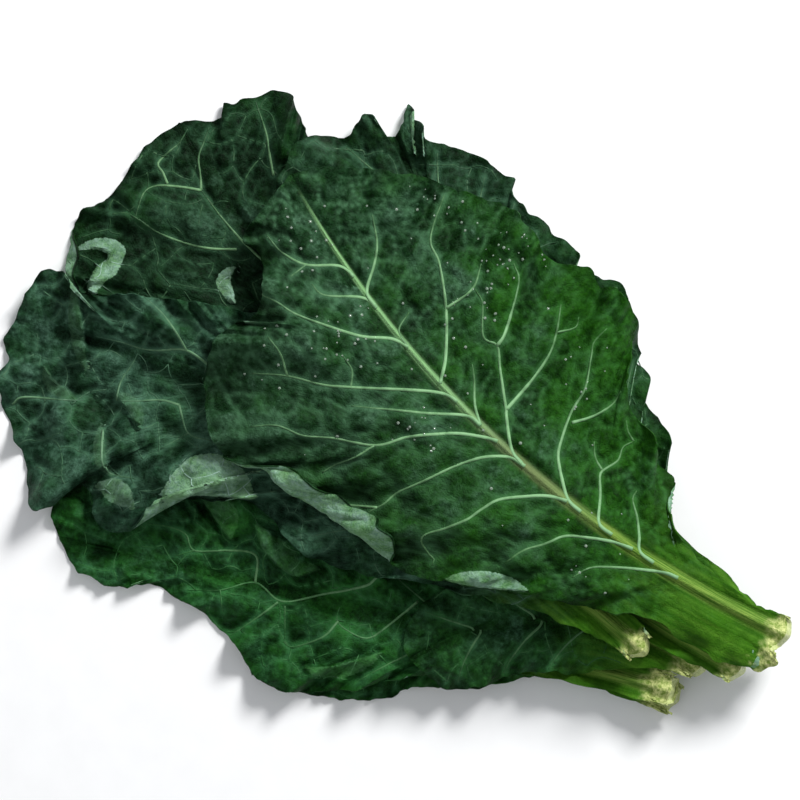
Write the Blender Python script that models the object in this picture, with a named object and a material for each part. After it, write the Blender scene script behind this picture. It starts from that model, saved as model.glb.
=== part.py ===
"""Kale bunch: seven broad, waved kale leaves that lie on each other with their cut stems together.

Lengths are in millimetres until a mesh is written in metres. +Z is up, the bunch lies on z = 0,
its stems point along +X, and the origin is under the middle of its box.
Each leaf is one closed solid: a thin waved blade that runs down both sides of its stalk as a wing,
and a stalk that goes on as a midrib below the blade. The leaves are laid from the bottom up, and
each is lifted until it lies clear on the ones under it.
"""

import math

import bpy
import numpy as np

MM = 0.001

# The blade and its rib: the rib's share of a line across the leaf, its depth below the blade and its
# crown above it, both by its half width, its half width at the tip, and how it thins towards there
BLADE = 0.8
RIB_SHARE = 0.10
RIB_DEPTH = 1.45
RIB_CROWN = 0.35
RIB_TIP = 0.9
RIB_TAPER = 1.15
STALK_TAPER = 0.15

# How the side veins leave the midrib, and the pillows between them
VEIN_LAG = 1.35
VEIN_LEAD = 0.85
VEIN_BOW = 0.20
PILLOW = 3.2
PILLOW_RISE = 3.0
PILLOW_END = 1.15
PILLOW_WIDTH = 60

# How the cup flattens and the droop steepens outwards, how near the margin the waves stay, and the
# blade's width from which they are full. Each wave has a height and a rate, as shares of the leaf's own.
CUP_START = 1.6
CUP_FALL = 0.64
DROOP_RISE = 1.2
WAVE_RISE = 2.4
WAVE_WIDTH = 45
WAVE_PARTS = ((1.0, 1.0), (0.6, 0.55), (0.35, 1.9))
ROLL_EASE = 0.75

# How the leaves lie on each other and on the surface: the clearance between them, what is pressed
# flat, the cell of the field that holds the pile's height, and how far a leaf bridges, in cells
CLEAR = 1.8
PRESS = 0.6
CELL = 3.0
SPREAD = 5
FIELD_LOW = (-300.0, -260.0)
FIELD_SIZE = (200, 174)

# Where the solids have their lines: across a blade from rib to margin, and across the rib
BLADE_LINES = (0.0, 0.28, 0.55, 0.77, 0.90, 1.0)
ROLLED_LINES = (0.0, 0.28, 0.53, 0.72, 0.79, 0.86, 0.93, 1.0)
RIB_LINES = (-0.55, 0.55)
STALK_ROWS = 5
ROWS_PER_VEIN = 4
SHARP_DEGREES = 50

LEAF_GREEN = (0.035, 0.13, 0.035, 1)
WAXY_ROUGHNESS = 0.5

# The leaves from the bottom of the pile to the top. cut is where the stalk's cut end lies, heading
# the way the stalk leaves it, in degrees from +X, and bend the whole turn of the midrib. left and
# right are the blade's margins, as x along the midrib from the cut end and y away from it.
# heights are those of the midrib at its cut end, its middle and its tip. cup lifts the blade
# beside the rib, and droop lowers it at the margin. Each roll is a stretch of margin that curls
# up and back over the blade: its side, its middle and half length as shares of that margin from
# the stalk on, its turn in degrees, its radius, and the length of the flap past the turn.
LEAVES = (
    dict(
        name="leaf_6", cut=(200, -64), heading=180, bend=54, length=228, stalk=60, rib=4.4, veins=5,
        left=((0, 8), (14, 11), (37, 12), (60, 12), (67, 11), (73, 18), (81, 19), (103, 27), (132, 29),
              (144, 28), (156, 32), (169, 32), (191, 26), (206, 18), (219, 12), (228, 0)),
        right=((0, 8), (41, 15), (80, 30), (117, 41), (153, 45), (184, 43), (209, 30), (225, 14), (228, 0)),
        heights=(0, 0, 0), cup=0.10, droop=0.22, wave=4.0, waves=7, seed=6, rolls=(),
    ),
    dict(
        name="leaf_5", cut=(196, -61), heading=195.2, bend=2, length=328, stalk=70, rib=4.8, veins=7,
        left=((0, 8), (36, 9), (77, 12), (112, 20), (137, 30), (165, 43), (191, 50), (210, 47), (222, 36),
              (239, 24), (254, 18), (275, 13), (298, 18), (317, 12), (328, 0)),
        right=((0, 8), (32, 24), (77, 34), (126, 35), (156, 30), (183, 29), (201, 33), (219, 43),
               (235, 50), (252, 47), (270, 42), (287, 40), (314, 37), (331, 26), (334, 14), (328, 0)),
        heights=(6, 6, 0), cup=0.12, droop=0.22, wave=4.5, waves=8, seed=5,
        rolls=((-1, 0.46, 0.07, 165, 3.5, 10), (-1, 0.60, 0.06, 165, 3.5, 12)),
    ),
    dict(
        name="leaf_7", cut=(203, -42), heading=176.0, bend=66, length=158, stalk=45, rib=3.8, veins=4,
        left=((0, 7), (24, 14), (62, 27), (99, 27), (127, 29), (147, 24), (155, 13), (158, 0)),
        right=((0, 7), (35, 12), (69, 22), (100, 27), (126, 27), (147, 19), (156, 10), (158, 0)),
        heights=(10, 10, 6), cup=0.12, droop=0.25, wave=4.0, waves=5, seed=7, rolls=(),
    ),
    dict(
        name="leaf_3", cut=(226, -33), heading=181.4, bend=-31, length=414, stalk=95, rib=5.4, veins=8,
        left=((0, 8), (55, 13), (127, 34), (195, 47), (260, 52), (317, 68), (354, 84), (379, 92),
              (391, 83), (401, 62), (407, 34), (413, 16), (414, 0)),
        right=((0, 8), (71, 20), (138, 30), (207, 41), (278, 47), (342, 54), (371, 53), (390, 58),
               (402, 54), (408, 42), (409, 33), (405, 22), (412, 11), (414, 0)),
        heights=(12, 12, 0), cup=0.10, droop=0.20, wave=5.0, waves=9, seed=3,
        rolls=((1, 0.76, 0.06, 165, 4.0, 14),),
    ),
    dict(
        name="leaf_4", cut=(176, -50), heading=167.8, bend=29, length=376, stalk=60, rib=5.2, veins=8,
        left=((0, 8), (30, 12), (77, 27), (131, 48), (158, 58), (185, 60), (221, 49), (249, 59),
              (267, 66), (294, 67), (319, 73), (329, 88), (341, 92), (350, 74), (356, 60), (370, 42),
              (374, 24), (376, 0)),
        right=((0, 8), (31, 11), (86, 14), (142, 24), (190, 38), (236, 43), (277, 39), (314, 31),
               (333, 24), (347, 22), (357, 31), (369, 28), (374, 11), (376, 0)),
        heights=(16, 14, 0), cup=0.10, droop=0.16, wave=5.0, waves=9, seed=4,
        rolls=((1, 0.48, 0.08, 165, 4.0, 18),),
    ),
    dict(
        name="leaf_2", cut=(235, -17), heading=170.2, bend=-28, length=338, stalk=60, rib=5.2, veins=7,
        left=((0, 8), (34, 20), (90, 35), (137, 61), (188, 84), (241, 101), (290, 95), (323, 77),
              (345, 60), (355, 45), (350, 32), (344, 15), (338, 0)),
        right=((0, 8), (44, 15), (71, 12), (91, 15), (107, 24), (123, 39), (145, 47), (161, 57),
               (184, 67), (211, 71), (223, 63), (237, 58), (256, 53), (273, 48), (290, 46), (311, 36),
               (326, 20), (338, 0)),
        heights=(8, 20, 6), cup=0.08, droop=0.20, wave=5.0, waves=8, seed=2, rolls=(),
    ),
    dict(
        name="leaf_1", cut=(237, -5), heading=185.8, bend=-37, length=360, stalk=60, rib=5.6, veins=8,
        left=((0, 14), (13, 26), (39, 25), (67, 25), (91, 35), (109, 44), (127, 52), (155, 71), (174, 82),
              (186, 84), (208, 86), (235, 95), (251, 99), (262, 108), (275, 108), (293, 95), (311, 79),
              (321, 64), (332, 47), (344, 30), (354, 15), (360, 0)),
        right=((0, 9), (19, 7), (39, 9), (64, 10), (79, 15), (92, 22), (94, 42), (107, 41), (108, 53),
               (120, 62), (138, 69), (159, 88), (182, 102), (210, 101), (234, 90), (261, 89), (282, 84),
               (303, 71), (322, 57), (338, 42), (353, 20), (360, 0)),
        heights=(16, 30, 24), cup=0.08, droop=0.16, wave=4.5, waves=9, seed=1,
        rolls=((1, 0.46, 0.11, 165, 4.0, 13), (1, 0.245, 0.05, 160, 3.5, 8)),
    ),
)


def smooth_curve(points, steps=24):
    """A Catmull-Rom curve through the points, with the given number of steps between two of them."""
    p = np.asarray(points, float)
    p = np.vstack([2 * p[0] - p[1], p, 2 * p[-1] - p[-2]])
    t = np.linspace(0, 1, steps, endpoint=False)[:, None]
    spans = [
        0.5 * (2 * b + (c - a) * t + (2 * a - 5 * b + 4 * c - d) * t**2 + (3 * b - a - 3 * c + d) * t**3)
        for a, b, c, d in zip(p[:-3], p[1:-2], p[2:-1], p[3:])
    ]
    return np.vstack(spans + [p[-2][None]])


def margin_points(leaf, side, v):
    """The margin's point for each row, by its share of the margin's length.

    The stalk's rows end where the margin is level with the blade's base, and the blade's rows share
    the rest by v ** VEIN_LEAD, so that they run ahead of the rib's."""
    curve = smooth_curve(leaf["left"] if side > 0 else leaf["right"])
    run = np.concatenate([[0], np.cumsum(np.hypot(*np.diff(curve, axis=0).T))])
    ahead = curve[:, 0].argmax()
    base = np.interp(leaf["stalk"], curve[:ahead, 0], run[:ahead])
    along = np.where(v < 0, base * (1 + v), base + (run[-1] - base) * np.clip(v, 0, 1) ** VEIN_LEAD)
    return np.interp(along, run, curve[:, 0]), np.interp(along, run, curve[:, 1])


def rib_radius(leaf, x):
    """Half the rib's width: thickest at the cut end, a little less at the blade, and thin at the tip."""
    stalk, length, radius = leaf["stalk"], leaf["length"], leaf["rib"]
    on_stalk = radius * (1 - STALK_TAPER * np.clip(x / stalk, 0, 1))
    on_blade = np.clip((x - stalk) / (length - stalk), 0, 1)
    return RIB_TIP + (on_stalk - RIB_TIP) * (1 - on_blade) ** RIB_TAPER


def waves(leaf, side, v):
    """The margin's ups and downs: a sum of sine waves along the blade, with seeded starts."""
    starts = np.random.default_rng(leaf["seed"] * 10 + (side > 0)).uniform(0, 2 * math.pi, len(WAVE_PARTS))
    turns = 2 * math.pi * leaf["waves"] * v
    return sum(high * np.sin(rate * turns + start) for (high, rate), start in zip(WAVE_PARTS, starts))


def roll_up(leaf, side, v, f, width):
    """Where each point of a line across the blade comes to lie, as a distance from the rib and a rise.

    In a roll the blade is longer than the line. Short of the margin it follows a circle up to the
    roll's turn, and then runs straight, so that the line's far end is still the outline."""
    length, rise = f * width, np.zeros_like(f)
    for where, middle, half, degrees, radius, flap in leaf["rolls"]:
        if where != side:
            continue
        share = np.clip(v, 0, 1) ** VEIN_LEAD
        window = np.clip(1 - ((share - middle) / half) ** 2, 0, 1) ** ROLL_EASE
        turn = np.radians(degrees) * window
        whole = width + window * (radius * np.radians(degrees) + flap - radius)
        past = np.where(window > 0, np.clip(f * whole - (width - radius), 0, None), 0)
        bent = np.minimum(past, radius * turn)
        straight = past - bent
        angle = bent / radius
        reach = radius * np.sin(angle) + straight * np.cos(turn)
        length = np.where(window > 0, np.minimum(f * whole, width - radius) + reach, length)
        rise += radius * (1 - np.cos(angle)) + straight * np.sin(turn)
    return length, rise


def leaf_surface(leaf, v, c):
    """The top of a leaf before it is laid down, as arrays of x, y, z and rib depth.

    v runs from -1 at the cut end over 0 at the blade's base to 1 at the tip. c runs from -1 to 1
    across: its middle part is the rib, and each outer part a side of the blade, along lines that
    follow the veins."""
    v, c = np.meshgrid(v, c, indexing="ij")
    length, stalk = leaf["length"], leaf["stalk"]
    x_rib = np.where(v < 0, stalk * (1 + v), stalk + (length - stalk) * np.clip(v, 0, 1) ** VEIN_LAG)
    radius = rib_radius(leaf, x_rib)
    f = np.clip((np.abs(c) - RIB_SHARE) / (1 - RIB_SHARE), 0, 1)
    across = np.clip(c / RIB_SHARE, -1, 1)
    x, y = x_rib.copy(), across * radius
    z = np.interp(x_rib / length, (0, 0.5, 1), leaf["heights"]) + RIB_DEPTH * radius + BLADE
    z += RIB_CROWN * radius * (1 - across**2)
    for side in (-1, 1):
        part = (side * c) > RIB_SHARE
        e_x, e_y = margin_points(leaf, side, v)
        # the margin never comes nearer than the rib itself, and closes on the tip
        reach_y = np.maximum(e_y - radius, 0) * np.where(v < 1, 1, 0)
        width = np.maximum(np.hypot(e_x - x_rib, reach_y), 1e-6)
        far, rise = roll_up(leaf, side, v, f, width)
        g = np.clip(far / width, 0, None)
        # the pillows stand between the veins and fade at the rib and the margin
        pillow = PILLOW * np.sin(math.pi * leaf["veins"] * np.clip(v, 0, 1)) ** 2
        pillow *= np.clip(PILLOW_RISE * g * (PILLOW_END - g), 0, 1) * np.minimum(1, width / PILLOW_WIDTH)
        cup = leaf["cup"] * far * (CUP_START - CUP_FALL * g)
        droop = leaf["droop"] * far * g**DROOP_RISE
        ruffle = leaf["wave"] * g**WAVE_RISE * waves(leaf, side, v) * np.minimum(1, width / WAVE_WIDTH)
        x = np.where(part, x_rib + g * (e_x - x_rib) + VEIN_BOW * g * (1 - g) * width, x)
        y = np.where(part, side * (radius + g * reach_y), y)
        z = np.where(part, z + cup - droop + pillow + ruffle + rise, z)
    depth = RIB_DEPTH * radius * np.sqrt(np.clip(1 - across**2, 0, 1))
    return x, y, np.maximum(z, BLADE + depth), depth


def place(leaf, x, y):
    """Bends the flat leaf along its midrib, an arc of constant turn, and sets it at its cut end's place."""
    heading, rate = math.radians(leaf["heading"]), math.radians(leaf["bend"]) / leaf["length"]
    turned = heading + rate * x
    plan_x = leaf["cut"][0] + (np.sin(turned) - math.sin(heading)) / rate - y * np.sin(turned)
    plan_y = leaf["cut"][1] - (np.cos(turned) - math.cos(heading)) / rate + y * np.cos(turned)
    return plan_x, plan_y


def normals(p):
    """Unit normals of a grid of points, from its row and column differences."""
    n = np.cross(np.gradient(p, axis=0), np.gradient(p, axis=1))
    # rows run from the cut end and columns from right to left, so this points up
    size = np.linalg.norm(n, axis=-1, keepdims=True)
    return n / np.maximum(size, 1e-9)


def cells(x, y):
    """The field's cell numbers of points, kept inside it."""
    i = np.clip(((x - FIELD_LOW[0]) / CELL).astype(int), 0, FIELD_SIZE[0] - 1)
    j = np.clip(((y - FIELD_LOW[1]) / CELL).astype(int), 0, FIELD_SIZE[1] - 1)
    return i, j


def dense(p, steps=7):
    """Points spread evenly over every four-sided patch of a grid of points."""
    a, b, c, d = p[:-1, :-1], p[1:, :-1], p[:-1, 1:], p[1:, 1:]
    shares = np.linspace(0, 1, steps)
    return np.concatenate([
        (a * (1 - s) * (1 - t) + b * s * (1 - t) + c * (1 - s) * t + d * s * t).reshape(-1, 3)
        for s in shares for t in shares
    ])


def widest(field, radius):
    """Each cell takes the highest value within the radius, first along rows and then along columns."""
    for axis in (0, 1):
        field = np.max([np.roll(field, k, axis) for k in range(-radius, radius + 1)], axis=0)
    return field


def soften(field, radius):
    """Each cell takes the mean over the radius, along rows and then along columns."""
    for axis in (0, 1):
        field = np.mean([np.roll(field, k, axis) for k in range(-radius, radius + 1)], axis=0)
    return field


def sample(field, x, y):
    """The field between its cells' middles, by the four nearest."""
    u = np.clip((x - FIELD_LOW[0]) / CELL - 0.5, 0, FIELD_SIZE[0] - 1.001)
    w = np.clip((y - FIELD_LOW[1]) / CELL - 0.5, 0, FIELD_SIZE[1] - 1.001)
    i, j = u.astype(int), w.astype(int)
    u, w = u - i, w - j
    return (field[i, j] * (1 - u) * (1 - w) + field[i + 1, j] * u * (1 - w)
            + field[i, j + 1] * (1 - u) * w + field[i + 1, j + 1] * u * w)


def faces_of(top, depth):
    """The grid's lower side: each point moved in by the blade, and straight down by the rib's depth.

    What nearly touches the surface under the bunch lies pressed flat on it."""
    low = top - BLADE * normals(top)
    low[..., 2] -= depth
    low[..., 2] = np.where(low[..., 2] < PRESS, 0, low[..., 2])
    return low


def lay(leaf, pile, v, c):
    """Lays a leaf's grid on the pile and raises the pile by it. Returns its top and lower points."""
    x, y, z, depth = leaf_surface(leaf, v, c)
    plan_x, plan_y = place(leaf, x, y)
    top = np.stack([plan_x, plan_y, z], -1)
    under = dense(faces_of(top, depth))
    i, j = cells(under[:, 0], under[:, 1])
    lowest = np.full(FIELD_SIZE, np.inf)
    np.minimum.at(lowest, (i, j), under[:, 2])
    need = np.where((pile > 0) & np.isfinite(lowest), pile + CLEAR - lowest, 0)
    lift = soften(widest(np.clip(need, 0, None), SPREAD), SPREAD)
    top[..., 2] += sample(lift, plan_x, plan_y)
    low = faces_of(top, depth)
    over = dense(np.concatenate([top, low]))
    i, j = cells(over[:, 0], over[:, 1])
    np.maximum.at(pile, (i, j), over[:, 2])
    return top, low


def grid_lines(leaf):
    """The rows and columns of a leaf's solid."""
    rows = leaf["veins"] * ROWS_PER_VEIN
    v = np.concatenate([np.linspace(-1, 0, STALK_ROWS, endpoint=False), np.linspace(0, 1, rows + 1)])
    side = RIB_SHARE + (1 - RIB_SHARE) * np.array(ROLLED_LINES if leaf["rolls"] else BLADE_LINES)
    c = np.concatenate([-side[::-1], RIB_SHARE * np.array(RIB_LINES), side])
    return v, c


def leaf_solid(name, top, low, material):
    """One closed mesh from the two grids, with both faces split alike.

    A rim runs along the margin, and a cap closes the cut end."""
    rows, columns = top.shape[0] - 1, top.shape[1]
    points = np.concatenate([top[:-1].reshape(-1, 3), top[-1, :1], low[:-1].reshape(-1, 3), low[-1, :1]])
    tip = rows * columns
    under = tip + 1
    faces = []
    for r in range(rows):
        for k in range(columns - 1):
            a, b = r * columns + k, r * columns + k + 1
            if r == rows - 1:
                made = [(a, tip, b)]
            else:
                d, e = a + columns, b + columns
                made = [(a, d, e), (a, e, b)]
            for face in made:
                faces.append(face)
                faces.append(tuple(under + n for n in reversed(face)))
    right = [r * columns for r in range(rows)] + [tip]
    left = [r * columns + columns - 1 for r in range(rows)] + [tip]
    cut = list(range(columns))
    for line, ahead in ((right, False), (left, True), (cut, True)):
        for a, b in zip(line[:-1], line[1:]):
            a, b = (a, b) if ahead else (b, a)
            faces += [(a, b, b + under), (a, b + under, a + under)]
    mesh = bpy.data.meshes.new(name)
    mesh.from_pydata((points * MM).tolist(), [], faces)
    mesh.materials.append(material)
    mesh.update()
    mesh.shade_smooth()
    mesh.set_sharp_from_angle(angle=math.radians(SHARP_DEGREES))
    thing = bpy.data.objects.new(name, mesh)
    bpy.context.scene.collection.objects.link(thing)
    return thing


def leaf_material():
    """Waxy dark green, a little shiny."""
    material = bpy.data.materials.new("kale_green")
    material.use_nodes = True
    shader = material.node_tree.nodes["Principled BSDF"]
    shader.inputs["Base Color"].default_value = LEAF_GREEN
    shader.inputs["Roughness"].default_value = WAXY_ROUGHNESS
    shader.inputs["Metallic"].default_value = 0
    return material


def main():
    for thing in list(bpy.data.objects):
        bpy.data.objects.remove(thing)
    material = leaf_material()
    pile = np.zeros(FIELD_SIZE)
    laid = []
    for leaf in LEAVES:
        v, c = grid_lines(leaf)
        laid.append((leaf["name"], *lay(leaf, pile, v, c)))
    every = np.concatenate([g.reshape(-1, 3) for _, top, low in laid for g in (top, low)])
    middle = (every.min(0) + every.max(0)) / 2
    middle[2] = every[:, 2].min()
    for name, top, low in laid:
        leaf_solid(name, top - middle, low - middle, material)


main()
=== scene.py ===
"""A bunch of kale: seven broad, waved leaves that lie on each other with their cut stems together.

The pile is made as it lies: each leaf in turn from the bottom up, with its blade, rib and veins,
then the drops of water on the top leaf, and at the end the floor, the lights and the camera.
Lengths are in millimetres until a mesh is written in metres.
"""

import math

import bpy
import numpy as np
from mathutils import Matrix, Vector


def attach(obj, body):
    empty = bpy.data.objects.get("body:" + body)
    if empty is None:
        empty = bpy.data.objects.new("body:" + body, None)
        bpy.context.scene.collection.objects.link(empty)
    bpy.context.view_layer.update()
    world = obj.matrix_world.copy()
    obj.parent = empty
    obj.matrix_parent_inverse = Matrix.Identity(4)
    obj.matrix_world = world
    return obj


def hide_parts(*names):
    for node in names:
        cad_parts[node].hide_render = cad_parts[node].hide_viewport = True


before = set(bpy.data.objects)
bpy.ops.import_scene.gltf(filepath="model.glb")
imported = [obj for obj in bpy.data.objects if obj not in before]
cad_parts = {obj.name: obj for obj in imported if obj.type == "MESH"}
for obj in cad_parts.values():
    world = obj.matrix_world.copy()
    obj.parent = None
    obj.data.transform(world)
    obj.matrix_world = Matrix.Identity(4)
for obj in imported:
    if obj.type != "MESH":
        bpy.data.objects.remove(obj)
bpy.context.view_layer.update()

# The seven leaves
# A kale leaf grows in one piece: a thick, juicy stalk that goes on as the midrib, and a thin, tough
# blade on both sides of it, puffed up between its veins, waved along its margin and folded over here
# and there. The leaves were cut off at the stalks and laid in a pile, and sag over each other.
MM = 0.001

# where the middle of the pile lies from the point that the leaves are drawn from
PILE_MIDDLE = np.array([20.4328, -16.7928, 0.0])

# the blade's thickness; the rib's share of a line across the leaf, its depth below the blade and its
# crown above it, both by its half width, its half width at the tip, and how it thins towards there
BLADE = 0.7
RIB_SHARE = 0.10
RIB_DEPTH = 1.45
RIB_CROWN = 0.42
RIB_TIP = 0.9
RIB_TAPER = 1.15
STALK_TAPER = 0.15

# how the lines across the blade lag behind at the rib, lead at the margin, and bow forwards
VEIN_LAG = 1.35
VEIN_LEAD = 0.85
VEIN_BOW = 0.20

# how the cup flattens and the droop steepens outwards, how near the margin the waves stay, and the
# blade's width from which they are full; each wave's height and rate, as shares of the leaf's own;
# how fast a roll starts, and how uneven its flap is
CUP_START = 1.6
CUP_FALL = 0.64
DROOP_RISE = 1.2
WAVE_RISE = 2.4
WAVE_WIDTH = 45
WAVE_PARTS = ((1.0, 1.0), (0.6, 0.55), (0.35, 1.9))
ROLL_EASE = 0.8
ROLL_RUFFLE = 0.4

# how the leaves lie: the clearance between them, what the surface under them presses flat, the
# share of its height that the finished pile keeps under its own weight, the cell of the field that
# holds the pile's height, and how far a leaf bridges a hollow, in cells
CLEAR = 0.5
PRESS = 0.6
SETTLE = 0.9
CELL = 3.0
SPREAD = 5
FIELD_LOW = (-300.0, -260.0)
FIELD_SIZE = (200, 174)

# Each leaf, from the bottom of the pile up. cut is where the stalk's cut end lies, heading the way
# the stalk leaves it, in degrees, and bend the whole turn of the midrib. left and right are the
# margins, as distances along the midrib and away from it. heights are those of the midrib at its
# cut end, its middle and its tip. longer is how far the stalk's end reaches past the cut's place,
# and ragged how far its fibres stick out.
# A roll is a stretch of margin that curls up and back: its side, middle and half length as shares of
# the margin, turn in degrees, radius, and the flap's length. A dent is a dip in the blade: its place,
# half width and depth, which is negative for a bump; a dent also darkens the leaf's tone as painted
# shade, and a bump lightens it as painted light. A tuck is a sharp fold along a line, with the raised
# side on the left: its points, width, height, and how much of the pale underside it shows; its sunk
# side is darkened as painted shade. crumple is how strongly the whole blade is crumpled.
# The rib shows up to rib_to, and side veins grow evenly up to plain_to, past which they follow
# drawn_veins. vein_size and vein_pale are how thick and how pale they are, net_pale is how pale the
# net between them is, and net_stands whether the wider one of its two meshes stands out.
# grid is the fineness of the surface: rows along the blade, and columns on each side of the rib.
# colours are the deep, the fresh and the dusty green. fresh is how much younger the leaf gets with
# each mm along and across it, and how young it is at the cut end. dust is the share of wax bloom
# there, its change with each mm along, and how much of it the margin lacks. blush is the rib's
# brown tinge.
COMMON = dict(
    rolls=(), dents=(), tucks=(), drawn_veins=(), longer=0, plain_to=999, blush=0.0, crumple=1.0,
    net_pale=0.8, net_stands=True,
)
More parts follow.
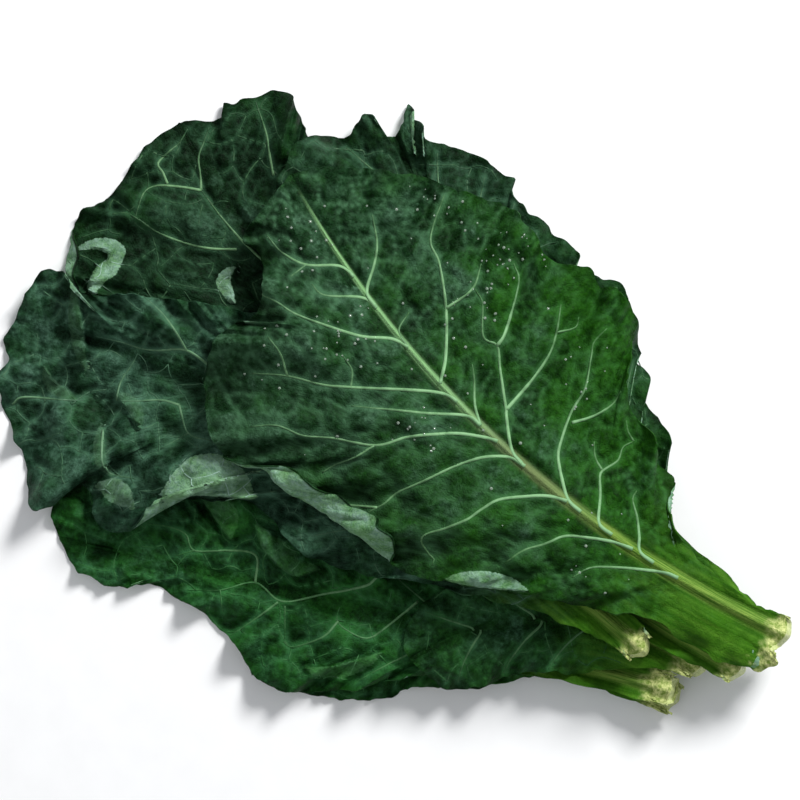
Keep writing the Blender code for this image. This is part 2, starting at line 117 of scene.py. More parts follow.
LEAVES = (
    dict(
        COMMON, name="leaf_6", cut=(200, -64), heading=180, bend=54, length=228, stalk=60, rib=4.4, veins=5,
        left=((0, 8), (14, 11), (37, 12), (60, 12), (67, 11), (73, 18), (81, 19), (103, 27), (132, 29),
              (144, 28), (156, 32), (169, 32), (191, 26), (206, 18), (219, 12), (228, 0)),
        right=((0, 8), (41, 15), (80, 30), (117, 41), (153, 45), (184, 43), (209, 30), (225, 14), (228, 0)),
        heights=(0, 0, 0), cup=0.10, droop=0.22, wave=5.0, waves=7, seed=6,
        grid=(170, 30), longer=8, ragged=1.6, rib_to=60, vein_size=0.8, vein_pale=0.4,
        colours=((0.008, 0.046, 0.008), (0.018, 0.100, 0.012), (0.045, 0.135, 0.075)),
        fresh=(0.0, 0.0, 0.25), dust=(0.6, 0.0, 0.8),
    ),
    dict(
        COMMON, name="leaf_5", cut=(196, -61), heading=195.2, bend=2, length=328, stalk=70, rib=4.8, veins=7,
        left=((0, 8), (36, 9), (77, 12), (112, 20), (137, 30), (165, 43), (191, 50), (210, 47), (222, 36),
              (239, 24), (254, 18), (275, 13), (298, 18), (317, 12), (328, 0)),
        right=((0, 8), (32, 24), (77, 34), (126, 35), (156, 30), (183, 29), (201, 33), (219, 43),
               (235, 50), (252, 47), (270, 42), (287, 40), (314, 37), (331, 26), (334, 14), (328, 0)),
        heights=(6, 6, 0), cup=0.12, droop=0.22, wave=6.0, waves=8, seed=5,
        grid=(255, 48), longer=7, ragged=1.5, rib_to=105, plain_to=125, vein_size=0.8, vein_pale=0.6,
        net_pale=0.9, crumple=1.1,
        dents=((303, 5, 9, 4), (235, -16, 6, 6), (189, -12, 9, 4)),
        tucks=(
            (((259, -36), (250, -28), (241, -20)), 13, 4, 0.12),
            (((229, -30), (222, -19), (204, -9), (191, -15)), 12, 4, 0.12),
            (((150, 18), (160, 24), (172, 31), (186, 35)), 8, 3, 0.12),
        ),
        colours=((0.005, 0.034, 0.005), (0.013, 0.088, 0.009), (0.038, 0.115, 0.062)),
        fresh=(0.0, 0.0, 0.3), dust=(0.7, 0.0, 0.8),
        drawn_veins=(
            ((161, -19), (166, -13), (185, -4), (206, 5), (222, -1), (239, 7), (256, 11)),
            ((208, 6), (218, 18), (229, 30)),
            ((222, -1), (225, -15), (240, -14), (257, -10), (263, -17), (272, -19), (285, -18)),
            ((257, -10), (266, -5)),
            ((239, 7), (235, 18)),
            ((137, -12), (149, 4), (158, 13), (171, 11), (176, 7), (176, 1)),
            ((175, 8), (181, 18), (195, 27), (201, 25)),
            ((204, 7), (200, 24)),
        ),
    ),
    dict(
        COMMON, name="leaf_7", cut=(203, -42), heading=176.0, bend=66, length=158, stalk=45, rib=3.8, veins=4,
        left=((0, 7), (24, 14), (62, 27), (99, 27), (127, 29), (147, 24), (155, 13), (158, 0)),
        right=((0, 7), (35, 12), (69, 22), (100, 27), (126, 27), (147, 19), (156, 10), (158, 0)),
        heights=(10, 10, 6), cup=0.12, droop=0.25, wave=5.0, waves=5, seed=7,
        grid=(130, 26), longer=5, ragged=1.4, rib_to=60, vein_size=0.85, vein_pale=0.5,
        colours=((0.006, 0.034, 0.006), (0.014, 0.076, 0.010), (0.040, 0.108, 0.062)),
        fresh=(0.0, 0.0, 0.25), dust=(0.8, 0.0, 0.8),
    ),
    dict(
        COMMON, name="leaf_3", cut=(226, -33), heading=181.4, bend=-31, length=417, stalk=95, rib=5.4,
        veins=8,
        left=((0, 8), (55, 13), (127, 34), (195, 47), (260, 52), (317, 68), (354, 84), (379, 92),
              (393, 81), (404, 66), (402, 54), (410, 34), (416, 16), (417, 0)),
        right=((0, 8), (71, 20), (138, 30), (207, 41), (278, 47), (342, 54), (371, 55), (388, 57),
               (398, 59), (405, 53), (408, 45), (411, 37), (411, 30), (415, 26), (409, 23), (409, 17),
               (414, 9), (417, 0)),
        heights=(12, 12, 0), cup=0.10, droop=0.20, wave=6.5, waves=9, seed=3,
        rolls=((1, 0.76, 0.05, 150, 3.0, 5),),
        grid=(275, 52), ragged=0.8, rib_to=300, plain_to=270, vein_size=0.85, vein_pale=0.8, crumple=1.1,
        dents=((378, 74, 5, 7), (322, 15, 12, 5), (334, 43, 12, 5), (366, -20, 10, 5), (396, 52, 9, 4),
               (379, -20, 9, 4), (362, 56, 13, 2), (374, -36, 14, 2), (365, 19, 10, -3),
               (385, 36, 9, -3), (381, -47, 9, -3)),
        tucks=(
            (((385, 75), (381, 67), (376, 63), (373, 64), (373, 70), (371, 77), (367, 85)), 8, 4, 0.9),
            (((321, 26), (327, 22), (333, 20), (337, 15)), 7, 4, 0.85),
        ),
        colours=((0.003, 0.016, 0.004), (0.007, 0.044, 0.005), (0.038, 0.088, 0.056)),
        fresh=(0.0, 0.0, 0.15), dust=(0.75, 0.0, 1.15),
        drawn_veins=(
            ((330, 2), (346, 5), (364, 7), (381, 8)),
            ((381, 8), (388, 16), (395, 26), (396, 33), (391, 40), (387, 45)),
            ((381, 8), (388, 4), (396, 0), (402, -7), (407, -13)),
            ((393, 21), (399, 20), (405, 19), (408, 5), (412, -3)),
            ((345, 10), (354, 22), (365, 32), (375, 39), (386, 44), (392, 48), (395, 54)),
            ((366, -28), (376, -32), (388, -37), (406, -41)),
        ),
    ),
    dict(
        COMMON, name="leaf_4", cut=(176, -50), heading=167.8, bend=29, length=376, stalk=60, rib=5.2, veins=8,
        left=((0, 8), (30, 12), (77, 27), (131, 48), (158, 58), (185, 60), (221, 49), (249, 59),
              (267, 66), (275, 71), (278, 82), (284, 89), (294, 92), (303, 87), (309, 77), (319, 75),
              (329, 88), (341, 93), (349, 79), (354, 66), (360, 60), (368, 50), (373, 42), (377, 30),
              (375, 21), (379, 10), (376, 0)),
        right=((0, 8), (31, 11), (86, 14), (142, 24), (190, 38), (236, 43), (277, 39), (314, 31),
               (333, 24), (347, 22), (357, 31), (369, 28), (374, 11), (376, 0)),
        heights=(16, 14, 0), cup=0.10, droop=0.16, wave=7.0, waves=9, seed=4,
        grid=(290, 52), ragged=1.7, rib_to=225, plain_to=200, vein_size=0.85, vein_pale=0.55,
        net_pale=0.9, crumple=1.3,
        dents=((342, 18, 6, 7), (317, 34, 6, 7), (353, 44, 7, 6), (272, 3, 12, 6), (314, 76, 7, 6),
               (354, -18, 7, 4), (311, -30, 7, 4), (274, 35, 9, 3), (366, 0, 9, -3), (337, 45, 8, -4),
               (301, 27, 10, -3), (343, 72, 9, -3), (360, 27, 7, -3), (331, 64, 6, -2)),
        tucks=(
            (((333, 31), (341, 27), (347, 25), (354, 19)), 7, 3, 0.12),
            (((301, 63), (306, 57), (311, 47), (315, 40)), 7, 2, 0.12),
            (((314, 24), (306, 28), (295, 36)), 8, 3, 0.1),
            (((332, 15), (337, 1), (343, -14), (348, -26)), 8, 3, 0.1),
            (((282, 74), (288, 66), (298, 64), (307, 69)), 18, 3, 0.45),
            (((268, 65), (258, 61), (249, 57), (235, 52), (222, 48)), 23, 6, 0.9),
        ),
        colours=((0.007, 0.030, 0.014), (0.014, 0.060, 0.016), (0.078, 0.165, 0.118)),
        fresh=(0.0, 0.0, 0.1), dust=(0.95, 0.0, 0.8),
        drawn_veins=(
            ((269, -7), (285, -11), (299, -6), (308, -4), (318, -4), (332, -3)),
            ((285, -11), (293, -18), (303, -25), (316, -31)),
            ((269, -7), (264, 5), (257, 23)),
            ((279, 17), (269, 29), (255, 28)),
            ((269, 29), (280, 42)),
            ((279, 17), (289, 18), (302, 23), (312, 26)),
            ((312, 26), (313, 16), (310, 5), (309, -1)),
            ((367, 43), (362, 38), (341, 34), (329, 31)),
            ((314, 43), (305, 62), (287, 61)),
        ),
    ),
    dict(
        COMMON, name="leaf_2", cut=(235, -17), heading=170.2, bend=-28, length=338, stalk=60, rib=5.2,
        veins=7,
        left=((0, 8), (34, 20), (90, 35), (137, 61), (188, 84), (241, 101), (290, 95), (323, 77),
              (345, 60), (354, 44), (352, 33), (347, 22), (351, 16), (355, 11), (353, 7), (348, 6),
              (342, 6), (338, 0)),
        right=((0, 8), (44, 15), (71, 12), (91, 15), (106, 24), (112, 33), (117, 40), (125, 43),
               (135, 44), (145, 44), (149, 46), (151, 50), (156, 54), (162, 54), (166, 53), (170, 57),
               (175, 59), (179, 62), (185, 66), (195, 67), (203, 68), (211, 69),
               (216, 64), (226, 57), (232, 55), (236, 59), (245, 57), (252, 53), (258, 54), (265, 50),
               (270, 46), (276, 47), (281, 44), (287, 45), (291, 49), (297, 44), (306, 40), (313, 35),
               (320, 27), (326, 19), (331, 13), (336, 15), (340, 14), (344, 11), (348, 14), (352, 13),
               (350, 11), (344, 8), (338, 0)),
        heights=(8, 20, 6), cup=0.08, droop=0.20, wave=5.0, waves=8, seed=2,
        grid=(250, 48), ragged=0.8, rib_to=300, vein_size=0.9, vein_pale=0.65,
        dents=((325, 3, 6, 3), (293, -29, 7, 4), (276, -15, 7, 4), (334, 38, 6, 4)),
        colours=((0.006, 0.026, 0.008), (0.009, 0.046, 0.006), (0.046, 0.102, 0.070)),
        fresh=(-0.0032, 0.0, 1.0), dust=(-0.75, 0.0055, 0.6),
    ),
    dict(
        COMMON, name="leaf_1", cut=(237, -5), heading=185.8, bend=-37, length=360, stalk=60, rib=5.6, veins=8,
        left=((0, 12), (-2, 16), (3, 19), (7, 24), (14, 24), (22, 27), (30, 29), (39, 26), (52, 27),
              (67, 25), (91, 35), (109, 44), (127, 52), (155, 71), (174, 82), (186, 84), (208, 86),
              (235, 95), (251, 99), (262, 108), (275, 108), (288, 101), (300, 92), (308, 83), (312, 74),
              (310, 64), (309, 53), (315, 44), (327, 37), (335, 35), (342, 38), (348, 29), (354, 15),
              (360, 0)),
        right=((0, 9), (19, 7), (39, 9), (58, 13), (73, 17), (84, 22), (88, 26), (91, 30), (93, 36),
               (95, 42), (101, 43), (108, 43), (112, 48), (118, 53), (129, 55), (142, 61), (154, 70),
               (162, 82), (169, 93), (181, 100), (193, 100), (204, 96), (215, 97), (223, 93), (232, 88),
               (244, 87), (261, 89), (282, 84), (303, 71), (322, 57), (338, 42), (353, 20), (360, 0)),
        heights=(16, 30, 24), cup=0.08, droop=0.16, wave=5.5, waves=9, seed=1,
        rolls=((1, 0.46, 0.12, 172, 3.0, 18),),
        grid=(290, 66), longer=1, ragged=0.45, rib_to=352, plain_to=0, vein_size=1.1, vein_pale=0.75,
        net_pale=0.85, net_stands=False, crumple=0.9,
        dents=((317, 51, 8, 5), (330, 35, 7, 4), (284, 90, 8, 3), (286, -57, 8, 4), (231, -99, 6, 3),
               (183, 50, 9, 3)),
        tucks=((((157, 71), (148, 66), (138, 59), (126, 50)), 9, 4, 0.85),),
        colours=((0.006, 0.030, 0.008), (0.009, 0.055, 0.002), (0.058, 0.126, 0.080)),
        fresh=(-0.0045, -0.0050, 1.5), dust=(0.8, 0.0, 0.3), blush=0.6,
        drawn_veins=(
            ((306, 3), (316, 17), (328, 24), (339, 26)),
            ((316, 17), (315, 27)),
            ((286, 3), (298, 18), (306, 20)),
            ((260, 4), (270, 15), (286, 27), (299, 36), (308, 40), (316, 45)),
            ((222, 3), (236, 16), (254, 36), (263, 46), (277, 58), (288, 72)),
            ((254, 36), (260, 30), (268, 29)),
            ((277, 58), (287, 54), (297, 54)),
            ((205, 2), (219, 15), (232, 27), (247, 42)),
            ((184, 0), (190, 3), (201, 11), (210, 21), (218, 32), (225, 46), (241, 60), (251, 71),
             (262, 78), (269, 89)),
            ((225, 46), (225, 59), (225, 66)),
            ((174, 2), (182, 9), (187, 18), (191, 32), (194, 44), (195, 57), (196, 69)),
            ((195, 57), (204, 65), (214, 73)),
            ((137, 0), (146, 4), (153, 10), (161, 19), (162, 26), (164, 34), (168, 44), (173, 54),
             (170, 62), (167, 70)),
            ((95, 0), (106, 3), (118, 9), (127, 15), (133, 25), (139, 34), (142, 45)),
            ((76, 2), (94, 11), (107, 20), (112, 30)),
            ((287, -1), (296, -12), (305, -20), (319, -26)),
            ((261, -2), (265, -12)),
            ((226, 0), (235, -12), (254, -28), (276, -40), (290, -44), (306, -63)),
            ((254, -28), (253, -45), (261, -57)),
            ((176, -2), (190, -13), (192, -15), (210, -28), (220, -35), (229, -33), (243, -44), (252, -46)),
            ((220, -35), (223, -44), (238, -65), (249, -70)),
            ((192, -15), (193, -35), (196, -51), (202, -62), (212, -74)),
            ((202, -62), (196, -71), (199, -76)),
            ((137, -1), (147, -8), (155, -15), (159, -22), (165, -37), (168, -51), (178, -66),
             (182, -72), (182, -82)),
            ((161, -33), (154, -43), (150, -54), (151, -62)),
            ((117, -1), (124, -12), (131, -21), (131, -25), (128, -33), (130, -40), (127, -46)),
            ((132, -24), (139, -27), (145, -33)),
            ((127, -46), (133, -48), (138, -52)),
            ((91, -1), (96, -8), (102, -15), (109, -21), (110, -26)),
            ((205, -5), (215, -14), (222, -19)),
        ),
    ),
)

# the margin's fine nibbles: how deep they are, the sizes of the two kinds, the small ones' share of
# the depth, and over what length they fade out at both ends of the margin
NIBBLE = 1.1
NIBBLE_SIZES = (9, 3.5)
NIBBLE_SMALL = 0.5
NIBBLE_FADE = 12

# the margin's frill: its height, its length, how far it falls out of step, over what length, and
# over what length its height changes
FRILL = 2.4
FRILL_LENGTH = 17
FRILL_STRAY = 5
FRILL_STRAY_SIZE = 30
FRILL_HEIGHT_SIZE = 21

# the rib's crown and the furrows beside it, in its half widths: the crown's half width, how deep a
# furrow is, where it lies and its half width; over what length they fade out, and the rib's columns
CROWN_HALF = 0.4
FURROW = 0.15
FURROW_AT = 0.75
FURROW_HALF = 0.25
RIB_FADE = 30
RIB_COLUMNS = 13

# the stalk's rows: how many there are at least, for how many of the blade's rows there is one, and
# how much closer they stand at the cut end
STALK_ROWS = 14
STALK_SHARE = 7
STALK_EASE = 1.4

# the swollen cut end: how far up the stalk it reaches, what it adds to the rib's radius, how far its
# sides draw back in radii, its slant and over what length that fades, and over what length the
# dried flesh wears off
KNOB_LENGTH = 9.0
KNOB_SWELL = 2.4
KNOB_ROUND = 0.8
CUT_SLANT = 4.0
SLANT_FADE = 14
DRIED_FADE = 7.0

# the fibres on it: how many lie across the stalk, their sizes along it and in height, and how much
# further they stick out than they rise
FIBRES = 14
FIBRE_LONG = 3.5
FIBRE_HIGH = 2.7
FIBRE_REACH = 1.6

# the colours of thick veins, the underside, the stalk, the rib's blush and the wing beside the stalk;
# then where along the rib the blush lies, and its half length
VEIN_PALE = (0.22, 0.42, 0.19)
UNDER_DULL = (0.09, 0.19, 0.125)
UNDER_PALE = (0.28, 0.43, 0.35)
STALK_GREEN = (0.040, 0.13, 0.010)
STALK_PALE = (0.19, 0.30, 0.055)
RIB_BLUSH = (0.115, 0.095, 0.040)
WING_GREEN = (0.028, 0.110, 0.004)
WING_PALE = (0.070, 0.190, 0.014)
BLUSH_AT = 165
BLUSH_HALF = 40


def unit(values):
    """The values, held between 0 and 1."""
    return np.clip(values, 0, 1)


def smooth_curve(points, steps=24):
    """A Catmull-Rom curve through the points, with the given number of steps between two of them."""
    p = np.asarray(points, float)
    p = np.vstack([2 * p[0] - p[1], p, 2 * p[-1] - p[-2]])
    t = np.linspace(0, 1, steps, endpoint=False)[:, None]
    spans = [
        0.5 * (2 * b + (c - a) * t + (2 * a - 5 * b + 4 * c - d) * t**2 + (3 * b - a - 3 * c + d) * t**3)
        for a, b, c, d in zip(p[:-3], p[1:-2], p[2:-1], p[3:])
    ]
    return np.vstack(spans + [p[-2][None]])


def grain(x, y, size, seed):
    """Smooth random heights from -1 to 1: random values on a square lattice, joined by smooth steps."""
    table = np.random.default_rng(seed).uniform(-1, 1, (64, 64))
    u, w = x / size, y / size
    i, j = np.floor(u).astype(int), np.floor(w).astype(int)
    u, w = u - i, w - j
    u, w = u * u * (3 - 2 * u), w * w * (3 - 2 * w)
    low = table[i % 64, j % 64] * (1 - u) + table[(i + 1) % 64, j % 64] * u
    high = table[i % 64, (j + 1) % 64] * (1 - u) + table[(i + 1) % 64, (j + 1) % 64] * u
    return low * (1 - w) + high * w


def margin_points(leaf, side, v):
    """The margin's point for each row, by its share of the margin's length.

    The margin is a smooth curve, pushed outwards along its normal by two sizes of fine nibbles, which
    fade towards both ends."""
    curve = smooth_curve(leaf["left"] if side > 0 else leaf["right"])
    run = np.concatenate([[0], np.cumsum(np.hypot(*np.diff(curve, axis=0).T))])
    ahead = curve[:, 0].argmax()
    base = np.interp(leaf["stalk"], curve[:ahead, 0], run[:ahead])
    along = np.where(v < 0, base * (1 + v), base + (run[-1] - base) * unit(v) ** VEIN_LEAD)
    slope = np.gradient(curve, axis=0) / np.maximum(np.gradient(run), 1e-6)[:, None]
    x, y = np.interp(along, run, curve[:, 0]), np.interp(along, run, curve[:, 1])
    out_x, out_y = -np.interp(along, run, slope[:, 1]), np.interp(along, run, slope[:, 0])
    seed = leaf["seed"] * 10 + (side > 0)
    ends = unit((run[-1] - along) / NIBBLE_FADE) * unit(along / NIBBLE_FADE)
    coarse, fine = (grain(along, 0 * along, size, seed + more) for size, more in zip(NIBBLE_SIZES, (0, 40)))
    push = ends * (NIBBLE * coarse + NIBBLE * NIBBLE_SMALL * fine)
    return x + push * out_x, y + push * out_y


def rib_radius(leaf, x):
    """Half the rib's width: thickest at the cut end, a little less at the blade, and thin at the tip."""
    stalk, length, radius = leaf["stalk"], leaf["length"], leaf["rib"]
    on_stalk = radius * (1 - STALK_TAPER * unit(x / stalk))
    on_blade = unit((x - stalk) / (length - stalk))
    return RIB_TIP + (on_stalk - RIB_TIP) * (1 - on_blade) ** RIB_TAPER


def waves(leaf, side, v):
    """The margin's ups and downs: a sum of sine waves along the blade, with seeded starts."""
    starts = np.random.default_rng(leaf["seed"] * 10 + (side > 0)).uniform(0, 2 * math.pi, len(WAVE_PARTS))
    blade = leaf["length"] - leaf["stalk"]
    turns = 2 * math.pi * leaf["waves"] * np.where(v < 0, v * leaf["stalk"] / blade, v)
    return sum(high * np.sin(rate * turns + start) for (high, rate), start in zip(WAVE_PARTS, starts))


def roll_up(leaf, side, v, f, width):
    """Where each point of a line across the blade comes to lie, as a distance from the rib and a rise.

    In a roll the blade is longer than the line. Short of the margin it follows a circle up to the
    roll's turn, which is full before the flap is long, and then runs straight, so that the line's far
    end is still the outline."""
    length, rise = f * width, np.zeros_like(f)
    for where, middle, half, degrees, radius, flap in leaf["rolls"]:
        if where != side:
            continue
        share = unit(v) ** VEIN_LEAD
        window = unit(1 - ((share - middle) / half) ** 2) ** ROLL_EASE
        turn = np.radians(degrees) * unit(2.5 * window)
        ruffled = flap * (1 + ROLL_RUFFLE * grain(share * 400, 0 * share, 9, leaf["seed"]))
        whole = width + window * (radius * np.radians(degrees) + ruffled - radius)
        past = np.where(window > 0, np.clip(f * whole - (width - radius), 0, None), 0)
        bent = np.minimum(past, radius * turn)
        straight = past - bent
        angle = bent / radius
        reach = radius * np.sin(angle) + straight * np.cos(turn)
        length = np.where(window > 0, np.minimum(f * whole, width - radius) + reach, length)
        rise += radius * (1 - np.cos(angle)) + straight * np.sin(turn)
    return length, rise


def leaf_form(leaf, v, c):
    """A leaf before it is laid down, on a grid of v along it and c across it.

    v runs from -1 at the cut end over 0 at the blade's base to 1 at the tip, and c from -1 to 1: its
    middle part is the rib, and each outer part a side of the blade. drawn is the flat leaf before
    its margins roll up. x and y are its plan, z its height: rib, cup, droop, waves and rolls."""
    v, c = np.meshgrid(v, c, indexing="ij")
    length, stalk = leaf["length"], leaf["stalk"]
    x_rib = np.where(v < 0, stalk * (1 + v), stalk + (length - stalk) * unit(v) ** VEIN_LAG)
    x_plain = x_rib  # before the cut end is shaped
    f = unit((np.abs(c) - RIB_SHARE) / (1 - RIB_SHARE))
    across = np.clip(c / RIB_SHARE, -1, 1)
    # at the cut end the stalk has dried, swollen and split, and its sides draw back
    knob = np.exp(-((x_rib / KNOB_LENGTH) ** 2))
    radius = rib_radius(leaf, x_rib) + KNOB_SWELL * knob
    x_rib = x_rib - leaf["longer"] * unit(1 - x_rib / stalk) ** 2
    x_rib = x_rib + knob * KNOB_ROUND * radius * (1 - np.sqrt(unit(1 - 0.96 * across**2)))
    fibres = grain(c * FIBRES, x_rib, FIBRE_LONG, leaf["seed"] + 8)
    x_rib = x_rib + knob * leaf["ragged"] * FIBRE_REACH * fibres
    x, y = x_rib.copy(), across * radius
    drawn_x, drawn_y = x.copy(), y.copy()
    far_out, blade_width = np.zeros_like(f), np.zeros_like(f)
    z = np.interp(x_rib / length, (0, 0.5, 1), leaf["heights"]) + RIB_DEPTH * radius + BLADE
    # a narrow crown runs along the rib, with a furrow on each side of it
    crown = radius * unit((leaf["rib_to"] - x_rib) / RIB_FADE)
    z += RIB_CROWN * crown * np.exp(-((across / CROWN_HALF) ** 2))
    z -= FURROW * crown * np.exp(-(((np.abs(across) - FURROW_AT) / FURROW_HALF) ** 2))
    z += knob * leaf["ragged"] * grain(x, 9 + c * FIBRES, FIBRE_HIGH, leaf["seed"] + 9)
    ruffled = np.zeros_like(f)
    for side in (-1, 1):
        part = (side * c) > RIB_SHARE
        e_x, e_y = margin_points(leaf, side, v)
        e_x = e_x + x_rib - x_plain
        # the margin never comes nearer than the rib itself, and closes on the tip
        reach_y = np.maximum(e_y - radius, 0) * np.where(v < 1, 1, 0)
        width = np.maximum(np.hypot(e_x - x_rib, reach_y), 1e-6)
        far, rise = roll_up(leaf, side, v, f, width)
        g = np.clip(far / width, 0, None)
        cup = leaf["cup"] * far * (CUP_START - CUP_FALL * g)
        droop = leaf["droop"] * far * g**DROOP_RISE
        narrow = np.minimum(1, width / WAVE_WIDTH)
        ruffle = leaf["wave"] * g**WAVE_RISE * waves(leaf, side, v) * narrow
        seed = 7 * leaf["seed"] + side
        stray = FRILL_STRAY * grain(x_rib, 0 * v, FRILL_STRAY_SIZE, seed + 1)
        high = FRILL * (1 + grain(x_rib, 0 * v, FRILL_HEIGHT_SIZE, seed + 3))
        frill = high * f**3 * np.sin(2 * math.pi * x_rib / FRILL_LENGTH + stray)
        ruffled = np.where(part, ruffle + frill * narrow, ruffled)
        x = np.where(part, x_rib + g * (e_x - x_rib) + VEIN_BOW * g * (1 - g) * width, x)
        y = np.where(part, side * (radius + g * reach_y), y)
        z = np.where(part, z + cup - droop + ruffle + frill * narrow + rise, z)
        drawn_x = np.where(part, x_rib + f * (e_x - x_rib) + VEIN_BOW * f * (1 - f) * width, drawn_x)
        drawn_y = np.where(part, side * (radius + f * reach_y), drawn_y)
        far_out = np.where(part, f, far_out)
        blade_width = np.where(part, width, blade_width)
    depth = RIB_DEPTH * radius * np.sqrt(unit(1 - across**2))
    return dict(x=x, y=y, z=z, depth=depth, across=across, drawn=np.stack([drawn_x, drawn_y], -1),
                out=far_out, width=blade_width, ruffled=ruffled)


def place(leaf, x, y):
    """Bends the flat leaf along its midrib, an arc of constant turn, and sets it at its cut end's place."""
    heading, rate = math.radians(leaf["heading"]), math.radians(leaf["bend"]) / leaf["length"]
    turned = heading + rate * x
    plan_x = leaf["cut"][0] + (np.sin(turned) - math.sin(heading)) / rate - y * np.sin(turned)
    plan_y = leaf["cut"][1] - (np.cos(turned) - math.cos(heading)) / rate + y * np.cos(turned)
    return plan_x, plan_y


def normals(p):
    """Unit normals of a grid of points, from its row and column differences. They point up."""
    n = np.cross(np.gradient(p, axis=0), np.gradient(p, axis=1))
    size = np.linalg.norm(n, axis=-1, keepdims=True)
    return n / np.maximum(size, 1e-9)


def cells(x, y):
    """The field's cell numbers of points, kept inside it."""
    i = np.clip(((x - FIELD_LOW[0]) / CELL).astype(int), 0, FIELD_SIZE[0] - 1)
    j = np.clip(((y - FIELD_LOW[1]) / CELL).astype(int), 0, FIELD_SIZE[1] - 1)
    return i, j


def widest(field, radius):
    """Each cell takes the highest value within the radius, first along rows and then along columns."""
    for axis in (0, 1):
        field = np.max([np.roll(field, k, axis) for k in range(-radius, radius + 1)], axis=0)
    return field


def soften(field, radius):
    """Each cell takes the mean over the radius, along rows and then along columns."""
    for axis in (0, 1):
        field = np.mean([np.roll(field, k, axis) for k in range(-radius, radius + 1)], axis=0)
    return field


def between(grid, i, j):
    """A grid's values between its points, by the four nearest."""
    i = np.clip(i, 0, grid.shape[0] - 1.001)
    j = np.clip(j, 0, grid.shape[1] - 1.001)
    a, b = i.astype(int), j.astype(int)
    u, w = i - a, j - b
    if grid.ndim > 2:
        u, w = u[..., None], w[..., None]
    return (grid[a, b] * (1 - u) * (1 - w) + grid[a + 1, b] * u * (1 - w)
            + grid[a, b + 1] * (1 - u) * w + grid[a + 1, b + 1] * u * w)


def under_side(top, depth):
    """The lower side of a grid: each point moved in by the blade, and straight down by the rib's depth.

    What nearly touches the surface under the bunch lies pressed flat on it."""
    low = top - BLADE * normals(top)
    low[..., 2] -= depth
    low[..., 2] = np.where(low[..., 2] < PRESS, 0, low[..., 2])
    return low


def lay(leaf, form, pile):
    """Lays a leaf on the pile: it is lifted wherever it would sink into the pile, and stiffly
    bridges what lies between. The pile is raised by it. Returns its top and lower points."""
    plan_x, plan_y = place(leaf, form["x"], form["y"])
    z = np.maximum(form["z"], BLADE + form["depth"])
    top = np.stack([plan_x, plan_y, z], -1)
    low = under_side(top, form["depth"])
    i, j = cells(low[..., 0], low[..., 1])
    lowest = np.full(FIELD_SIZE, np.inf)
    np.minimum.at(lowest, (i, j), low[..., 2])
    need = np.where((pile > 0) & np.isfinite(lowest), pile + CLEAR - lowest, 0)
    lift = soften(widest(np.clip(need, 0, None), SPREAD), SPREAD)
    top[..., 2] += between(lift, (plan_x - FIELD_LOW[0]) / CELL - 0.5, (plan_y - FIELD_LOW[1]) / CELL - 0.5)
    low = under_side(top, form["depth"])
    for side in (top, low):
        i, j = cells(side[..., 0], side[..., 1])
        np.maximum.at(pile, (i, j), side[..., 2])
    return top, low


# the side veins: the step between a vein's points, its radius at the far end and what is added to that
# at the rib, and the length from which it is in full; then how far the blade puffs up between them,
# and how wide the valleys over them and over the rib are, whose points stand further apart
VEIN_STEP = 1.5
SIDE_VEIN = (0.36, 0.62)
SIDE_FULL = 42
SIDE_PUFF = (2.2, 9.0)
RIB_STEP = 3.0

# the side veins that aren't drawn: how far each one strays from its place, in the gaps between two,
# and how far out they reach; and for the drawn ones, how near the rib one starts that branches off
# it, and how far back along the rib it then does
VEIN_STRAY = 0.2
VEIN_REACH = (0.86, 0.94)
BRANCH_NEAR = 8
BRANCH_BACK = 9

# the two nets between them, a wide one and a close one: each one's cells, how far its corners stray,
# what share of its threads is missing, and its puffs and valleys; then the radii of the wide net's
# threads and how far a thread is bowed. The close one's are too thin to stand out, and only its
# valleys show
NETS = ((17.0, 0.26, 0.06, (2.2, 4.4)), (7.6, 0.24, 0.16, (1.2, 2.2)))
NET_RADII = (0.28, 0.46)
THREAD_BOW = 0.16

# the pale line over a side vein, over the wide net and over the close one: its strength and width
HALOS = ((0.9, 1.8), (1.0, 1.3), (0.4, 0.9))

# how far from the rib the puffs and crumples are in full, how far the whole crumpled blade sinks, and
# over what heights its skin goes from the low places, darkened as painted shade, to the crests, paler
# with wax bloom as painted highlight
RELIEF_START = 6
SETTLED = 2.6
CREST_START = 1.6
CREST_RANGE = 6.5

# the cells in which the leaf's tone changes, how far their middles stray, and how many distances are
# worked out in one go
TONE_CELL = 15.0
TONE_STRAY = 0.4
BATCH = 12_000_000

# the crumples' sizes and heights: rounded swellings with sharp valleys between them, and how much of
# their height lies below the blade
CRUMPLES = ((42.0, 2.8), (20.0, 2.0), (10.0, 0.9), (5.0, 0.3))
CRUMPLE_SUNK = 0.6

# how wide the step at a tuck's sharp edge is, how far from the edge its distance is kept, and how far
# the blade beyond it sinks in, as a share of its height
FOLD_EDGE = 2.0
FOLD_REACH = 3.0
FOLD_SINK = 0.8

# where the skin's patterns lie: how far out the rib is painted, in its half widths, how far the wings
# reach past the stalk, and the size and strength of the patches that are younger or older
RIB_PAINTED = 0.72
WINGS_PAST = 10
YOUNG_SIZE = 40
YOUNG_PATCH = 0.25

# how high and how deep a vein stands by its radius
TUBE_LIFT = 0.10
TUBE_TOP = 0.42
TUBE_DEEP = 0.9


def blade_outline(leaf):
    """The drawn leaf's outline as a closed line, up its left margin and back down its right one."""
    left, right = smooth_curve(leaf["left"]), smooth_curve(leaf["right"])
    return np.vstack([left, right[::-1] * (1, -1)])


